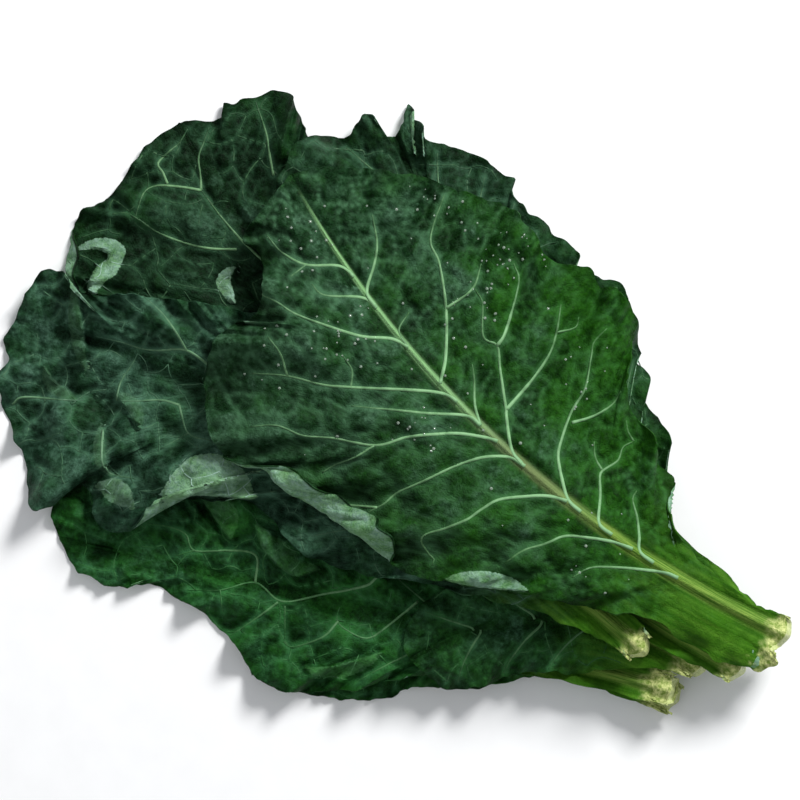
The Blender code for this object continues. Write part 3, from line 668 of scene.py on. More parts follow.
def inside(points, line):
    """Which points lie inside a closed line: those from which a ray crosses it an odd number of times."""
    a, b = line, np.roll(line, -1, axis=0)
    x, y = points[:, :1], points[:, 1:]
    crosses = (a[:, 1] > y) != (b[:, 1] > y)
    at = (b[:, 0] - a[:, 0]) * (y - a[:, 1]) / np.where(b[:, 1] == a[:, 1], 1e-9, b[:, 1] - a[:, 1]) + a[:, 0]
    return ((crosses & (x < at)).sum(1) % 2) == 1


def spaced(points, step):
    """A smooth line through the points, with new points the step apart, the last one kept."""
    curve = smooth_curve(points, 12)
    run = np.concatenate([[0], np.cumsum(np.hypot(*np.diff(curve, axis=0).T))])
    at = np.linspace(0, run[-1], max(2, int(round(run[-1] / step)) + 1))
    return np.stack([np.interp(at, run, curve[:, k]) for k in (0, 1)], -1)


def side_veins(leaf):
    """The side veins in the drawn leaf: first those of the hidden part, along the lines across the
    blade, and then those that show, each through its own points."""
    veins = []
    rng = np.random.default_rng(leaf["seed"] + 100)
    for side in (-1, 1):
        for k in range(1, leaf["veins"]):
            v = (k + rng.uniform(-VEIN_STRAY, VEIN_STRAY)) / leaf["veins"]
            x_rib = leaf["stalk"] + (leaf["length"] - leaf["stalk"]) * v**VEIN_LAG
            if x_rib > leaf["plain_to"]:
                continue
            c = side * np.linspace(0.02, rng.uniform(*VEIN_REACH), 9)
            line = leaf_form(leaf, np.array([v]), c)["drawn"][0]
            veins.append(spaced(line, VEIN_STEP))
    for line in leaf["drawn_veins"]:
        # one that starts beside the rib branches off it
        x, y = line[0]
        root = ((x - BRANCH_BACK, 0),) if 0 < abs(y) < BRANCH_NEAR and x < leaf["rib_to"] else ()
        veins.append(spaced(root + line, VEIN_STEP))
    return veins


def net_threads(leaf, cell, stray, missing):
    """The net between the veins: the sides of a honeycomb whose corners have strayed, each side bowed a
    little, without those that are missing or leave the blade. Returns their points, five on each."""
    line = blade_outline(leaf)
    rng = np.random.default_rng(leaf["seed"] + int(cell * 10))
    low, high = line.min(0) - cell, line.max(0) + cell
    a, b = np.array([cell, 0.0]), np.array([cell / 2, cell * 0.866])
    down = int((high[1] - low[1]) / b[1]) + 2
    aside = np.arange(-down // 2, int((high[0] - low[0]) / cell) + 2)
    i, j = np.meshgrid(aside, np.arange(down), indexing="ij")
    corner = low + i[..., None] * a + j[..., None] * b
    one, two = (corner + shift + rng.uniform(-stray, stray, corner.shape) * cell
                for shift in (0, (a + b) / 3))
    starts = np.concatenate([one[1:, 1:].reshape(-1, 2)] * 3)
    ends = np.concatenate([part.reshape(-1, 2) for part in (two[1:, 1:], two[:-1, 1:], two[1:, :-1])])
    middle = (starts + ends) / 2
    keep = inside(starts, line) & inside(ends, line) & (starts[:, 0] > leaf["stalk"])
    keep &= (np.abs(middle[:, 1]) > rib_radius(leaf, middle[:, 0]) + 1) & (rng.random(len(starts)) > missing)
    starts, ends = starts[keep][:, None], ends[keep][:, None]
    t = np.linspace(0, 1, 5)[None, :, None]
    bow = (ends - starts)[..., ::-1] * (1, -1) * rng.uniform(-THREAD_BOW, THREAD_BOW, (len(starts), 1, 1))
    return starts * (1 - t) + ends * t + bow * np.sin(math.pi * t)


def cell_tones(leaf, points, cell):
    """A tone from 0 to 1 for each point: the random one of the nearest centre on a strayed lattice."""
    line = blade_outline(leaf)
    rng = np.random.default_rng(leaf["seed"] + 400)
    spots = np.stack(np.meshgrid(*(np.arange(a, b, cell) for a, b in zip(line.min(0), line.max(0)))), -1)
    spots = spots.reshape(-1, 2) + rng.uniform(-TONE_STRAY, TONE_STRAY, (spots.size // 2, 2)) * cell
    tones = rng.uniform(0, 1, len(spots))
    return tones[nearest(points, spots)]


def nearest(points, cloud):
    """The number of the cloud's point that is nearest to each point."""
    points, cloud = points.astype(np.float32), cloud.astype(np.float32)
    parts = np.array_split(points, len(points) * len(cloud) // BATCH + 1)
    return np.concatenate([
        ((part[:, :1] - cloud[:, 0]) ** 2 + (part[:, 1:] - cloud[:, 1]) ** 2).argmin(1) for part in parts
    ])


def nearest_gap(points, cloud):
    """How far each point is from the nearest one of a cloud."""
    points, cloud = points.astype(np.float32), cloud.astype(np.float32)
    off = points - cloud[nearest(points, cloud)]
    return np.sqrt(off[:, 0] ** 2 + off[:, 1] ** 2)


def fold(points, line, wide):
    """A sharp fold along a line: how far each point is raised and sunk, and how deep it lies inside
    the strip that is turned over.

    Left of the line the blade stands up and falls off as a bell of the fold's width, which tapers
    towards both ends as the root of a sine; right of it the blade sinks in by the same bell. The
    strip reaches from the line to the fold's width, and the depth is the distance to its edge."""
    path = spaced(line, 0.5)
    k = nearest(points, path)
    ahead = np.gradient(path, axis=0)[k]
    off = points - path[k]
    gap = np.hypot(off[:, 0], off[:, 1])
    aside = (ahead[:, 0] * off[:, 1] - ahead[:, 1] * off[:, 0]) / np.hypot(ahead[:, 0], ahead[:, 1])
    beyond = np.clip(gap - np.abs(aside), 0, None)
    here = wide * np.sqrt(np.sin(math.pi * (k + 1) / (len(path) + 1)))
    left = unit(0.5 + aside / FOLD_EDGE)
    bell = np.exp(-beyond**2 - (aside / here) ** 2)
    return left * bell, (1 - left) * bell, np.minimum(aside, here - aside) - beyond


def find_on(drawn, points):
    """Row and column numbers, with fractions, at which points lie on the drawn grid: from the nearest
    of every third grid point, by Newton's method."""
    coarse = drawn[::3, ::3]
    i, j = (3.0 * n for n in np.unravel_index(nearest(points, coarse.reshape(-1, 2)), coarse.shape[:2]))
    by_row, by_column = np.gradient(drawn, axis=0), np.gradient(drawn, axis=1)
    for _ in range(6):
        miss = points - between(drawn, i, j)
        a, b = between(by_row, i, j), between(by_column, i, j)
        turn = a[:, 0] * b[:, 1] - a[:, 1] * b[:, 0]
        turn = np.where(np.abs(turn) < 1e-4, 1e-4, turn)
        down = np.clip((miss[:, 0] * b[:, 1] - miss[:, 1] * b[:, 0]) / turn, -2, 2)
        over = np.clip((a[:, 0] * miss[:, 1] - a[:, 1] * miss[:, 0]) / turn, -2, 2)
        i = np.clip(i + down, 0, drawn.shape[0] - 1)
        j = np.clip(j + over, 0, drawn.shape[1] - 1)
    return i, j


def build_mesh(name, points, faces, materials, values=None, material_of=None):
    """An object at the origin from points in mm and faces, with its materials and point values."""
    mesh = bpy.data.meshes.new(name)
    mesh.from_pydata((np.asarray(points) * MM).tolist(), [], faces)
    for material in materials:
        mesh.materials.append(material)
    for key, array in (values or {}).items():
        store = mesh.attributes.new(key, "FLOAT", "POINT").data
        store.foreach_set("value", np.asarray(array, np.float32).ravel())
    if material_of is not None:
        mesh.polygons.foreach_set("material_index", np.asarray(material_of, np.int32))
    mesh.update()
    mesh.shade_smooth()
    thing = bpy.data.objects.new(name, mesh)
    bpy.context.scene.collection.objects.link(thing)
    return thing


def closed_leaf(name, top, low, materials, values):
    """One closed shell from the two grids: top, lower side, a rim along the margin and a cap on the cut.

    values holds for each name the top grid's and the lower grid's values."""
    rows, columns = top.shape[0] - 1, top.shape[1]
    tip = rows * columns
    under = tip + 1
    a = (np.arange(rows - 1)[:, None] * columns + np.arange(columns - 1)).ravel()
    upper = np.stack([a, a + columns, a + columns + 1, a + 1], -1)
    lower = upper[:, ::-1] + under
    last = (rows - 1) * columns + np.arange(columns - 1)
    fan = np.stack([last, np.full_like(last, tip), last + 1], -1)
    right = np.append(np.arange(rows) * columns, tip)
    left = np.append(np.arange(rows) * columns + columns - 1, tip)
    cut = np.arange(columns)
    rims = [np.stack([b, a, a + under, b + under], -1) for a, b in
            ((right[:-1], right[1:]), (left[1:], left[:-1]), (cut[1:], cut[:-1]))]
    faces = upper.tolist() + lower.tolist() + fan.tolist() + (fan[:, ::-1] + under).tolist()
    plain = len(faces) + len(rims[0]) + len(rims[1])
    for rim in rims:
        faces += rim.tolist()
    points = np.concatenate([
        grid for side in (top, low) for grid in (side[:-1].reshape(-1, 3), side[-1, :1])
    ])
    flat = {
        key: np.concatenate([grid for side in pair for grid in (side[:-1].ravel(), side[-1, :1])])
        for key, pair in values.items()
    }
    material_of = np.zeros(len(faces), int)
    material_of[plain:] = 1
    thing = build_mesh(name, points, faces, materials, flat, material_of)
    thing.data.set_sharp_from_angle(angle=math.radians(55))
    return thing


def vein_tubes(name, grid, lines, material):
    """Tubes along lines on a leaf, low on its upper side and deep on its lower one.

    Each ring is an ellipse across the line: radius wide, TUBE_TOP radii high and TUBE_DEEP deep below
    the blade, and never below the floor. lines are pairs of drawn points and radii, and all those of
    one length are made at once."""
    sides = 6
    angles = np.linspace(0, 2 * math.pi, sides, endpoint=False) + math.pi / sides
    points, faces, thick, young, turned, count = [], [], [], [], [], 0
    for n in sorted({len(line) for line, _ in lines}):
        line = np.stack([line for line, _ in lines if len(line) == n])
        radius = np.stack([radius for _, radius in lines if len(radius) == n])
        i, j = find_on(grid["drawn"], line.reshape(-1, 2))
        spots = between(grid["top"], i, j).reshape(-1, n, 3)
        up = between(grid["normal"], i, j).reshape(-1, n, 3)
        aside = np.cross(up, np.gradient(spots, axis=1))
        aside /= np.maximum(np.linalg.norm(aside, axis=-1, keepdims=True), 1e-9)
        rise, drop = (part[..., None] for part in (TUBE_LIFT + radius * TUBE_TOP, BLADE + radius * TUBE_DEEP))
        high = np.where(np.sin(angles) > 0, rise, drop) * np.sin(angles)
        wide = radius[..., None] * np.cos(angles)
        ring = spots[:, :, None] + aside[:, :, None] * wide[..., None] + up[:, :, None] * high[..., None]
        ring[..., 2] = np.maximum(ring[..., 2], 0)
        points.append(ring.reshape(-1, 3))
        thick.append(np.repeat(radius.ravel(), sides))
        young.append(np.repeat(between(grid["fresh"], i, j), sides))
        turned.append(np.repeat(between(grid["under"], i, j), sides))
        number = count + np.arange(len(line) * n * sides).reshape(-1, n, sides)
        a, b = number, np.roll(number, -1, axis=2)
        walls = np.stack([a[:, :-1], b[:, :-1], b[:, 1:], a[:, 1:]], -1)
        faces += walls.reshape(-1, 4).tolist() + number[:, 0, ::-1].tolist() + number[:, -1].tolist()
        count += number.size
    values = {"thick": np.concatenate(thick), "fresh": np.concatenate(young), "under": np.concatenate(turned)}
    return build_mesh(name, np.concatenate(points), faces, [material], values)


def blend(a, one, b, two):
    """A colour that is a times the first one plus b times the second one."""
    return tuple(a * p + b * q for p, q in zip(one, two))


class Skin:
    """A new material, and the shader nodes that are added to it.

    A node's sockets are given by name or number, each with a value or with another node's output."""

    def __init__(self, name):
        self.material = bpy.data.materials.new(name)
        self.material.use_nodes = True
        self.tree = self.material.node_tree
        self.place = self.add("TexCoord", "Object")

    def fill(self, node, sockets):
        """Gives a node's sockets their values, or links them."""
        for key, value in sockets.items():
            if isinstance(value, bpy.types.NodeSocket):
                self.tree.links.new(value, node.inputs[key])
            else:
                node.inputs[key].default_value = value

    def add(self, kind, output, sockets=None, **settings):
        """Adds a node with its settings, and returns one of its outputs."""
        node = self.tree.nodes.new("ShaderNode" + kind)
        for key, value in settings.items():
            setattr(node, key, value)
        self.fill(node, sockets or {})
        return node.outputs[output]

    def value(self, key):
        """The surface's own value of that name."""
        return self.add("Attribute", "Fac", attribute_name=key)

    def noise(self, scale, detail, roughness=0.5, on=None, output="Fac"):
        """Clouds, fine or coarse, on the object's place or on other coordinates."""
        on = self.place if on is None else on
        return self.add("TexNoise", output,
                        {"Vector": on, "Scale": scale, "Detail": detail, "Roughness": roughness})

    def mix(self, share, a, b, way="MIX"):
        """From the colour a to the colour b by the share."""
        a, b = (one if isinstance(one, bpy.types.NodeSocket) else (*one, 1) for one in (a, b))
        return self.add("Mix", 2, {0: share, 6: a, 7: b}, data_type="RGBA", blend_type=way)

    def tint(self, colour, by):
        """The colour, multiplied by another one."""
        return self.mix(1.0, colour, by, "MULTIPLY")

    def spread(self, source, low, high, to_low=0.0, to_high=1.0):
        """The range from low to high stretched to a new one, and held at its ends beyond it."""
        return self.add("MapRange", 0, {0: source, 1: low, 2: high, 3: to_low, 4: to_high})

    def times(self, a, b):
        """The product of both."""
        return self.add("Math", 0, {0: a, 1: b}, operation="MULTIPLY")

    def plus(self, a, b):
        """The sum of both, held between 0 and 1."""
        return self.add("Math", 0, {0: a, 1: b}, operation="ADD", use_clamp=True)

    def bump(self, strength, distance, height, under=None):
        """A fine relief of the light alone, over another one where one is given."""
        sockets = {"Strength": strength, "Distance": distance, "Height": height}
        if under is not None:
            sockets["Normal"] = under
        return self.add("Bump", "Normal", sockets)

    def done(self, sockets):
        """Fills the shader's own sockets, and returns the material."""
        self.fill(self.tree.nodes["Principled BSDF"], sockets)
        return self.material


def leaf_skin(name, deep, fresh, bloom):
    """The blade's skin: deep green, turning fresh green in patches and where the leaf is young, darker
    in its low places and where dents and folds sink in as painted shade, with a dusty wax bloom on the
    puffed parts that is laid on the crests as painted highlight, a fine net of veins, paler lines over
    the veins under it, and a dull pale underside. The rib is pale, streaked along its length."""
    skin = Skin(name)
    value, mix, tint, spread = skin.value, skin.mix, skin.tint, skin.spread
    times, plus = skin.times, skin.plus
    patches = skin.noise(38.0, 6.0, 0.6)
    blots = skin.noise(110.0, 5.0, 0.6)
    mottle = skin.noise(420.0, 4.0, 0.65)
    bent = mix(0.012, skin.place, skin.noise(210.0, 2.0, output="Color"))
    net = skin.add("TexVoronoi", "Distance", {"Vector": bent, "Scale": 380.0}, feature="DISTANCE_TO_EDGE")
    net_line = spread(net, 0.0, 0.14, 1.0, 0.0)

    # green, darkened as painted shade where the tone and the height are low, with the wax bloom on the
    # crests, where it is also painted highlight
    youth = plus(value("fresh"), spread(patches, 0.36, 0.66, -0.4, 0.4))
    colour = mix(youth, deep, fresh)
    tone_and_painted_light = plus(times(value("tone"), 0.5), times(value("high"), 0.4))
    tone_and_painted_light = plus(tone_and_painted_light, spread(blots, 0.36, 0.64, -0.25, 0.3))
    # painted shade: the colour darkens where the tone and the height over the crests are low
    colour = mix(spread(tone_and_painted_light, 0.12, 0.48, 1.0, 0.0), colour, tint(colour, (0.30, 0.38, 0.30)))
    # the wax bloom is real, but laying it on the crests and leaving it out of the low places is painted
    # highlight
    dust = times(spread(tone_and_painted_light, 0.38, 0.74), spread(patches, 0.34, 0.58, 1.0, 0.3))
    dust = times(times(dust, spread(youth, 0.1, 0.9, 1.0, 0.12)), spread(mottle, 0.35, 0.65, 0.35, 1.0))
    colour = mix(times(dust, value("bloom")), colour, bloom)
    dark, light = tint(colour, (0.42, 0.50, 0.42)), tint(colour, (1.50, 1.42, 1.40))
    colour = mix(spread(mottle, 0.32, 0.70), dark, light)

    # the fine net, and the lines over the veins
    paler = mix(youth, blend(0.6, fresh, 0.8, bloom), blend(1.6, fresh, 0.2, bloom))
    colour = mix(times(net_line, 0.12), colour, paler)
    colour = mix(times(value("halo"), 0.8), colour, paler)

    # the underside, with an uneven edge where a fold begins
    beneath = mix(spread(mottle, 0.3, 0.7), UNDER_DULL, UNDER_PALE)
    beneath = mix(spread(blots, 0.38, 0.60, 0.75, 0.0), beneath, tint(fresh, (3.0, 2.2, 2.2)))
    beneath = mix(times(plus(net_line, value("halo")), 0.4), beneath, VEIN_PALE)
    wavy = plus(value("depth"), spread(mottle, 0.3, 0.7, -0.4, 0.4))
    under = times(value("under"), spread(wavy, 0.0, 0.4))
    colour = mix(under, colour, beneath)

    # the wings beside the stalk, the rib and the dried flesh at the cut, streaked lengthwise
    along = skin.add("CombineXYZ", 0, {0: value("along"), 1: value("aside"), 2: 0.0})
    streaks, beds = (skin.noise(1.0, detail, on=skin.add("Mapping", 0, {"Vector": along, "Scale": scale}))
                     for detail, scale in ((4.0, (0.05, 1.8, 1.0)), (5.0, (0.02, 0.35, 1.0))))
    wing = mix(spread(beds, 0.40, 0.66), WING_GREEN, WING_PALE)
    # painted shade: the wings are darker where they lie low
    wing = mix(spread(tone_and_painted_light, 0.10, 0.55, 0.6, 0.0), wing, tint(wing, (0.35, 0.45, 0.35)))
    colour = mix(times(value("wing"), spread(under, 0.0, 1.0, 1.0, 0.0)), colour, wing)
    stalk = mix(spread(streaks, 0.35, 0.65), STALK_GREEN, STALK_PALE)
    rib = mix(spread(streaks, 0.3, 0.7, 0.5, 0.0), VEIN_PALE, STALK_GREEN)
    rib = mix(spread(value("along"), 110.0, 180.0), stalk, rib)
    colour = mix(value("rib"), colour, mix(value("blush"), rib, RIB_BLUSH))
    flesh = mix(spread(mottle, 0.38, 0.62), (0.16, 0.24, 0.04), (0.56, 0.60, 0.24))
    colour = mix(value("dried"), colour, flesh)

    rough = plus(spread(mottle, 0.3, 0.7, 0.46, 0.62), times(under, 0.2))
    height = plus(times(mottle, 0.6), times(spread(net, 0.0, 0.22), 0.4))
    fine = skin.bump(0.4, 0.0003, streaks, skin.bump(0.7, 0.0007, height))
    return skin.done({"Base Color": colour, "Roughness": rough, "Specular IOR Level": 0.04, "Normal": fine})


def vein_skin(name, pale, dusty, fresh):
    """The veins' skin: pale green where a vein is thick, and where it is thin near the blade's own
    colour, dusty where the leaf is old, fresh green where it is young, and pale on the underside."""
    skin = Skin(name)
    mottle = skin.noise(420.0, 3.0)
    share = skin.plus(skin.spread(skin.value("thick"), 0.34, 1.0), skin.spread(mottle, 0.3, 0.7, -0.15, 0.15))
    colour = skin.mix(share, skin.mix(skin.value("fresh"), dusty, fresh), pale)
    colour = skin.mix(skin.value("under"), colour, UNDER_PALE)
    bump = skin.bump(0.3, 0.0003, mottle)
    return skin.done({"Base Color": colour, "Roughness": 0.5, "Specular IOR Level": 0.2, "Normal": bump})


def cut_skin():
    """The cut end's flesh: pale cream green, with darker dots where the strands run through it."""
    skin = Skin("cut_flesh")
    strands = skin.add("TexVoronoi", "Distance", {"Vector": skin.place, "Scale": 700.0})
    colour = skin.mix(skin.noise(500.0, 4.0), (0.34, 0.42, 0.12), (0.60, 0.64, 0.28))
    colour = skin.mix(skin.spread(strands, 0.15, 0.4, 1.0, 0.0), colour, (0.20, 0.28, 0.06))
    return skin.done({"Base Color": colour, "Roughness": 0.4, "Normal": skin.bump(0.6, 0.0005, strands)})


cut_material = cut_skin()
pile = np.zeros(FIELD_SIZE)
laid = {}
for leaf in LEAVES:
    # the rows, closest together at the cut end, and the columns of both sides and of the rib
    rows, columns = leaf["grid"]
    on_stalk = np.linspace(0, 1, max(STALK_ROWS, rows // STALK_SHARE), endpoint=False) ** STALK_EASE - 1
    v = np.concatenate([on_stalk, np.linspace(0, 1, rows + 1)])
    side = RIB_SHARE + (1 - RIB_SHARE) * np.linspace(0, 1, columns + 1)
    c = np.concatenate([-side[::-1], RIB_SHARE * np.linspace(-1, 1, RIB_COLUMNS + 2)[1:-1], side])
    form = leaf_form(leaf, v, c)
    x_flat, y_flat = form["drawn"][..., 0], form["drawn"][..., 1]

    # the side veins, and the two nets between them
    lines, clouds = [], []
    for line in side_veins(leaf):
        share = np.linspace(0, 1, len(line))
        full = min(1.0, len(line) * VEIN_STEP / SIDE_FULL)
        lines.append((line, (SIDE_VEIN[0] + SIDE_VEIN[1] * full * (1 - share) ** 0.8) * leaf["vein_size"]))
        clouds.append(line)
    middle = np.stack([np.arange(leaf["stalk"] * 0.7, leaf["length"] - 2, RIB_STEP)] * 2, -1) * (1, 0)
    gaps = [(np.vstack(clouds + [middle]), SIDE_PUFF)]
    nets = [net_threads(leaf, *net) for *net, _ in NETS]
    gaps += [(threads.reshape(-1, 2), net[-1]) for threads, net in zip(nets, NETS)]
    # the wide net stands out on the older leaves, and only shows as pale lines on the top leaf
    rng = np.random.default_rng(leaf["seed"] + 500)
    thick = rng.uniform(*NET_RADII, (len(nets[0]), 1)) * leaf["vein_size"] * np.ones(5)
    lines += [pair for pair in zip(nets[0], thick) if leaf["net_stands"]]

    # the blade sinks in over each vein and puffs up between them, and is crumpled and creased
    flat = form["drawn"].reshape(-1, 2)
    gaps = [(nearest_gap(flat, cloud).reshape(x_flat.shape), puff) for cloud, puff in gaps]
    puffed = sum(high * (1 - np.exp(-((gap / wide) ** 2))) for gap, (high, wide) in gaps)
    rough = sum(
        high * (np.abs(grain(x_flat, y_flat, size, leaf["seed"] + k)) * 2 - CRUMPLE_SUNK)
        for k, (size, high) in enumerate(CRUMPLES)
    )
    on_blade = unit(form["out"] * form["width"] / RELIEF_START)
    relief = on_blade * (puffed + rough * leaf["crumple"] - SETTLED)
    painted_shade, turned, greened = np.zeros_like(relief), np.zeros_like(relief), np.zeros_like(relief)
    inside_fold = np.full_like(relief, -FOLD_REACH)
    for dent_x, dent_y, wide, deep in leaf["dents"]:
        dent = np.exp(-((x_flat - dent_x) ** 2 + (y_flat - dent_y) ** 2) / wide**2)
        relief -= deep * dent
        # painted shade: a dent darkens the tone where it dips, and a bump lightens it as painted light
        painted_shade += np.sign(deep) * dent
    for line, wide, high, pale in leaf["tucks"]:
        raised, sunk, depth = (part.reshape(x_flat.shape) for part in fold(flat, line, wide))
        relief += high * (raised - FOLD_SINK * sunk)
        # painted shade: the sunk side of a fold is darkened
        painted_shade += sunk
        turned = np.where(depth > inside_fold, pale, turned)
        greened = np.maximum(greened, (1 - pale) * unit(depth))
        inside_fold = np.clip(np.maximum(inside_fold, depth), -FOLD_REACH, FOLD_REACH)
    form["z"] = form["z"] + relief
    top, low = lay(leaf, form, pile)
    # the cut is slanted, so that its face looks up
    heading = math.radians(leaf["heading"])
    slant = CUT_SLANT * np.exp(-np.clip(x_flat, 0, None) / SLANT_FADE)[..., None]
    top = top + slant * (math.cos(heading), math.sin(heading), 0)
    top, low = ((side - PILE_MIDDLE) * (1, 1, SETTLE) for side in (top, low))

    # what the skin's patterns follow, and where it paints shade and highlight
    net_pale = leaf["net_pale"]
    young_by_x, young_by_y, young = leaf["fresh"]
    dust, dust_by, dust_fall = leaf["dust"]
    halo = sum(pale * high * np.exp(-((gap / wide) ** 2))
               for (gap, _), (high, wide), pale in zip(gaps, HALOS, (1, net_pale, net_pale)))
    crests = relief + SETTLED + 0.7 * form["ruffled"]
    young = young + young_by_x * x_flat + young_by_y * y_flat
    young += YOUNG_PATCH * grain(x_flat, y_flat, YOUNG_SIZE, leaf["seed"] + 3)
    tone = cell_tones(leaf, flat, TONE_CELL).reshape(x_flat.shape)
    both = dict(
        halo=unit(halo) * on_blade,
        # the height of the crests, from which the skin paints shade in the low places and a highlight of wax
        # bloom up high
        high=unit((crests - CREST_START) / CREST_RANGE),
        # the cells' random tone, darkened by painted shade in dents and beside folds
        tone=unit(tone - 0.8 * painted_shade),
        fresh=unit(young + 0.6 * greened),
        bloom=np.clip(dust + dust_by * x_flat, 0, 0.85) * (1.15 - dust_fall * form["out"] ** 2),
        rib=unit(1.5 - np.abs(form["across"]) / RIB_PAINTED) * (form["out"] <= 0)
        * unit((leaf["rib_to"] - x_flat) / RIB_FADE),
        wing=unit(1.5 - x_flat / (leaf["stalk"] + WINGS_PAST)),
        along=x_flat,
        aside=y_flat,
        dried=unit(1.6 - x_flat / DRIED_FADE + 0.8 * grain(x_flat, y_flat, 3.0, 77)),
        blush=leaf["blush"] * np.exp(-(((x_flat - BLUSH_AT) / BLUSH_HALF) ** 2)),
    )
    values = {key: (array, array) for key, array in both.items()}
    # the margin itself stays green, so the underside starts one step in from it
    margin = np.zeros_like(relief, dtype=bool)
    margin[:, [0, -1]] = margin[-1] = True
    values["under"] = (turned, np.where(margin, turned, 1))
    values["depth"] = (inside_fold, np.where(margin, inside_fold, FOLD_REACH))
    skin = leaf_skin("skin_" + leaf["name"], *leaf["colours"])
    blade = closed_leaf(leaf["name"] + "_blade", top, low, [skin, cut_material], values)
    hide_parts(leaf["name"])
    laid[leaf["name"]] = dict(drawn=form["drawn"], top=top, normal=normals(top),
                              fresh=both["fresh"], under=turned * (inside_fold > 0))
    _, green, bloom = leaf["colours"]
    vein_green = vein_skin(
        "veins_" + leaf["name"],
        blend(leaf["vein_pale"], VEIN_PALE, 0.4, bloom),
        blend(0.8 - 0.2 * net_pale, green, 0.45 * net_pale, bloom),
        blend(1 + 0.5 * net_pale, green, 0.1 * net_pale, bloom),
    )
    tubes = vein_tubes(leaf["name"] + "_veins", laid[leaf["name"]], lines, vein_green)
    for piece in (blade, tubes):
        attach(piece, "root")

# The drops of water
# Small drops stand on the top leaf's waxy skin where it was sprayed, most of them in a few groups.
# Each is a little dome that is flatter than a ball.
#
# the groups: their places on the drawn leaf, how far they spread and how many drops are in each; the
# drops' radii; a drop's rings by height and width, how flat they are pressed, and its top
DROP_GROUPS = ((272, 25, 9, 22), (216, 24, 7, 12), (244, -50, 8, 14), (260, -69, 10, 20),
               (305, -60, 12, 20), (330, 10, 12, 16), (290, 60, 14, 14), (240, -90, 12, 14),
               (161, -48, 14, 10), (120, 20, 20, 12), (220, -20, 60, 50))
DROP_SIZES = (0.35, 0.95)
DROP_RINGS = ((-0.4, 0.95), (0.25, 0.97), (0.62, 0.72))
DROP_FLAT = 0.75
DROP_TOP = 0.7


def drops_on(name, grid, spots, radii, material):
    """Domes on a leaf: three rings of eight points by height and width, in radii, and one top point."""
    i, j = find_on(grid["drawn"], spots)
    seat, up = between(grid["top"], i, j), between(grid["normal"], i, j)
    one = np.cross(up, (0.3, 1.0, 0.1))
    one /= np.linalg.norm(one, axis=1, keepdims=True)
    two = np.cross(up, one)
    turn = np.linspace(0, 2 * math.pi, 8, endpoint=False)[:, None]
    round_it = one[:, None] * np.cos(turn) + two[:, None] * np.sin(turn)
    r = radii[:, None, None]
    rings = [seat[:, None] + r * (wide * round_it + DROP_FLAT * high * up[:, None])
             for high, wide in DROP_RINGS]
    points = np.concatenate(rings + [seat[:, None] + r * DROP_TOP * up[:, None]], axis=1)
    first = np.arange(len(spots))[:, None] * 25
    k = np.arange(8)
    near, far = k, (k + 1) % 8
    walls = [np.stack([near + a, far + a, far + a + 8, near + a + 8], -1) for a in (0, 8)]
    cap = np.stack([near + 16, far + 16, np.full(8, 24)], -1)
    faces = (first[:, None] + np.concatenate(walls)).reshape(-1, 4).tolist()
    faces += (first[:, None] + cap).reshape(-1, 3).tolist() + (first + k[::-1]).tolist()
    return build_mesh(name, points.reshape(-1, 3), faces, [material])


def water():
    """Clear water, hardly tinted, with the faint unevenness of a drop on wax; the part of it that is not
    clear has a pale colour that paints the drops' glints.
    """
    skin = Skin("water_drop")
    # painted glint: a pale, near white colour, so that each drop shows as a bright speck
    colour = skin.mix(skin.noise(900.0, 2.0), (0.55, 0.75, 0.55), (0.85, 0.95, 0.85))
    return skin.done({"Base Color": colour, "Roughness": 0.08, "IOR": 1.33, "Transmission Weight": 0.75})


rng = np.random.default_rng(11)
spots = np.concatenate([rng.normal((x, y), wide, (count, 2)) for x, y, wide, count in DROP_GROUPS])
spots = spots[inside(spots, blade_outline(LEAVES[-1]) * 0.98)]
drops = drops_on("leaf_1_drops", laid["leaf_1"], spots, rng.uniform(*DROP_SIZES, len(spots)), water())
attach(drops, "root")

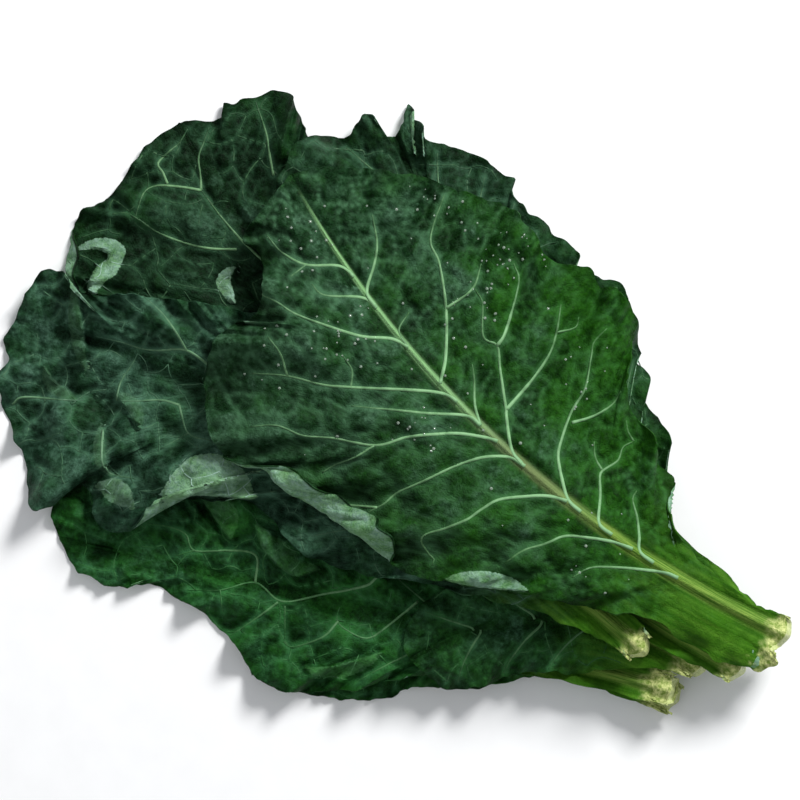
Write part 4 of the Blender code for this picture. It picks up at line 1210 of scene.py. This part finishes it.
# The floor, the lights and the camera
# A plain pale sheet under the bunch, a large soft light from the picture's upper right, a weaker one
# from its left, and a camera that looks straight down with a long lens.
TURN = math.radians(30)
across_picture = np.array([math.cos(TURN), math.sin(TURN), 0])
up_picture = np.array([-math.sin(TURN), math.cos(TURN), 0])


def floor_paint():
    """Nearly white paper, with a very faint grain."""
    skin = Skin("floor_paper")
    colour = skin.mix(skin.noise(60.0, 5.0), (0.86, 0.86, 0.86), (0.92, 0.92, 0.92))
    return skin.done({"Base Color": colour, "Roughness": 0.9})


def soft_light(name, toward, height, size, power):
    """A square light that hangs over the picture in the given direction and looks at the bunch."""
    lamp = bpy.data.lights.new(name, "AREA")
    lamp.shape = "SQUARE"
    lamp.size = size
    lamp.energy = power
    thing = bpy.data.objects.new(name, lamp)
    spot = across_picture * toward[0] + up_picture * toward[1] + np.array([0, 0, height])
    thing.location = spot
    thing.rotation_euler = Vector(spot).to_track_quat("Z", "Y").to_euler()
    bpy.context.scene.collection.objects.link(thing)


FLOOR = 6000.0
FLOOR_TOP = -0.05
corners = [(x * FLOOR, y * FLOOR, FLOOR_TOP) for x, y in ((-1, -1), (1, -1), (1, 1), (-1, 1))]
floor = build_mesh("floor", corners, [(0, 1, 2, 3)], [floor_paint()])
soft_light("key_light", (0.9, 1.3), 1.25, 0.6, 54)
soft_light("fill_light", (-1.4, -0.3), 1.6, 1.6, 5)

world = bpy.data.worlds.new("pale_room")
world.use_nodes = True
background = world.node_tree.nodes["Background"]
background.inputs["Color"].default_value = (0.93, 0.96, 1.0, 1)
background.inputs["Strength"].default_value = 0.42
bpy.context.scene.world = world
bpy.context.scene.view_settings.view_transform = "Standard"

# the lens and its film, how wide a strip of the table fills the picture, and at what height that strip lies
LENS = 200.0
FILM = 36.0
FRAME_WIDTH = 0.416
LEAF_HEIGHT = 0.025
camera = bpy.data.cameras.new("camera")
camera.lens = LENS
camera.sensor_width = FILM
camera_object = bpy.data.objects.new("camera", camera)
camera_object.location = (*(-PILE_MIDDLE[:2] * MM), LEAF_HEIGHT + FRAME_WIDTH * LENS / FILM)
camera_object.rotation_euler = (0, 0, TURN)
bpy.context.scene.collection.objects.link(camera_object)
bpy.context.scene.camera = camera_object
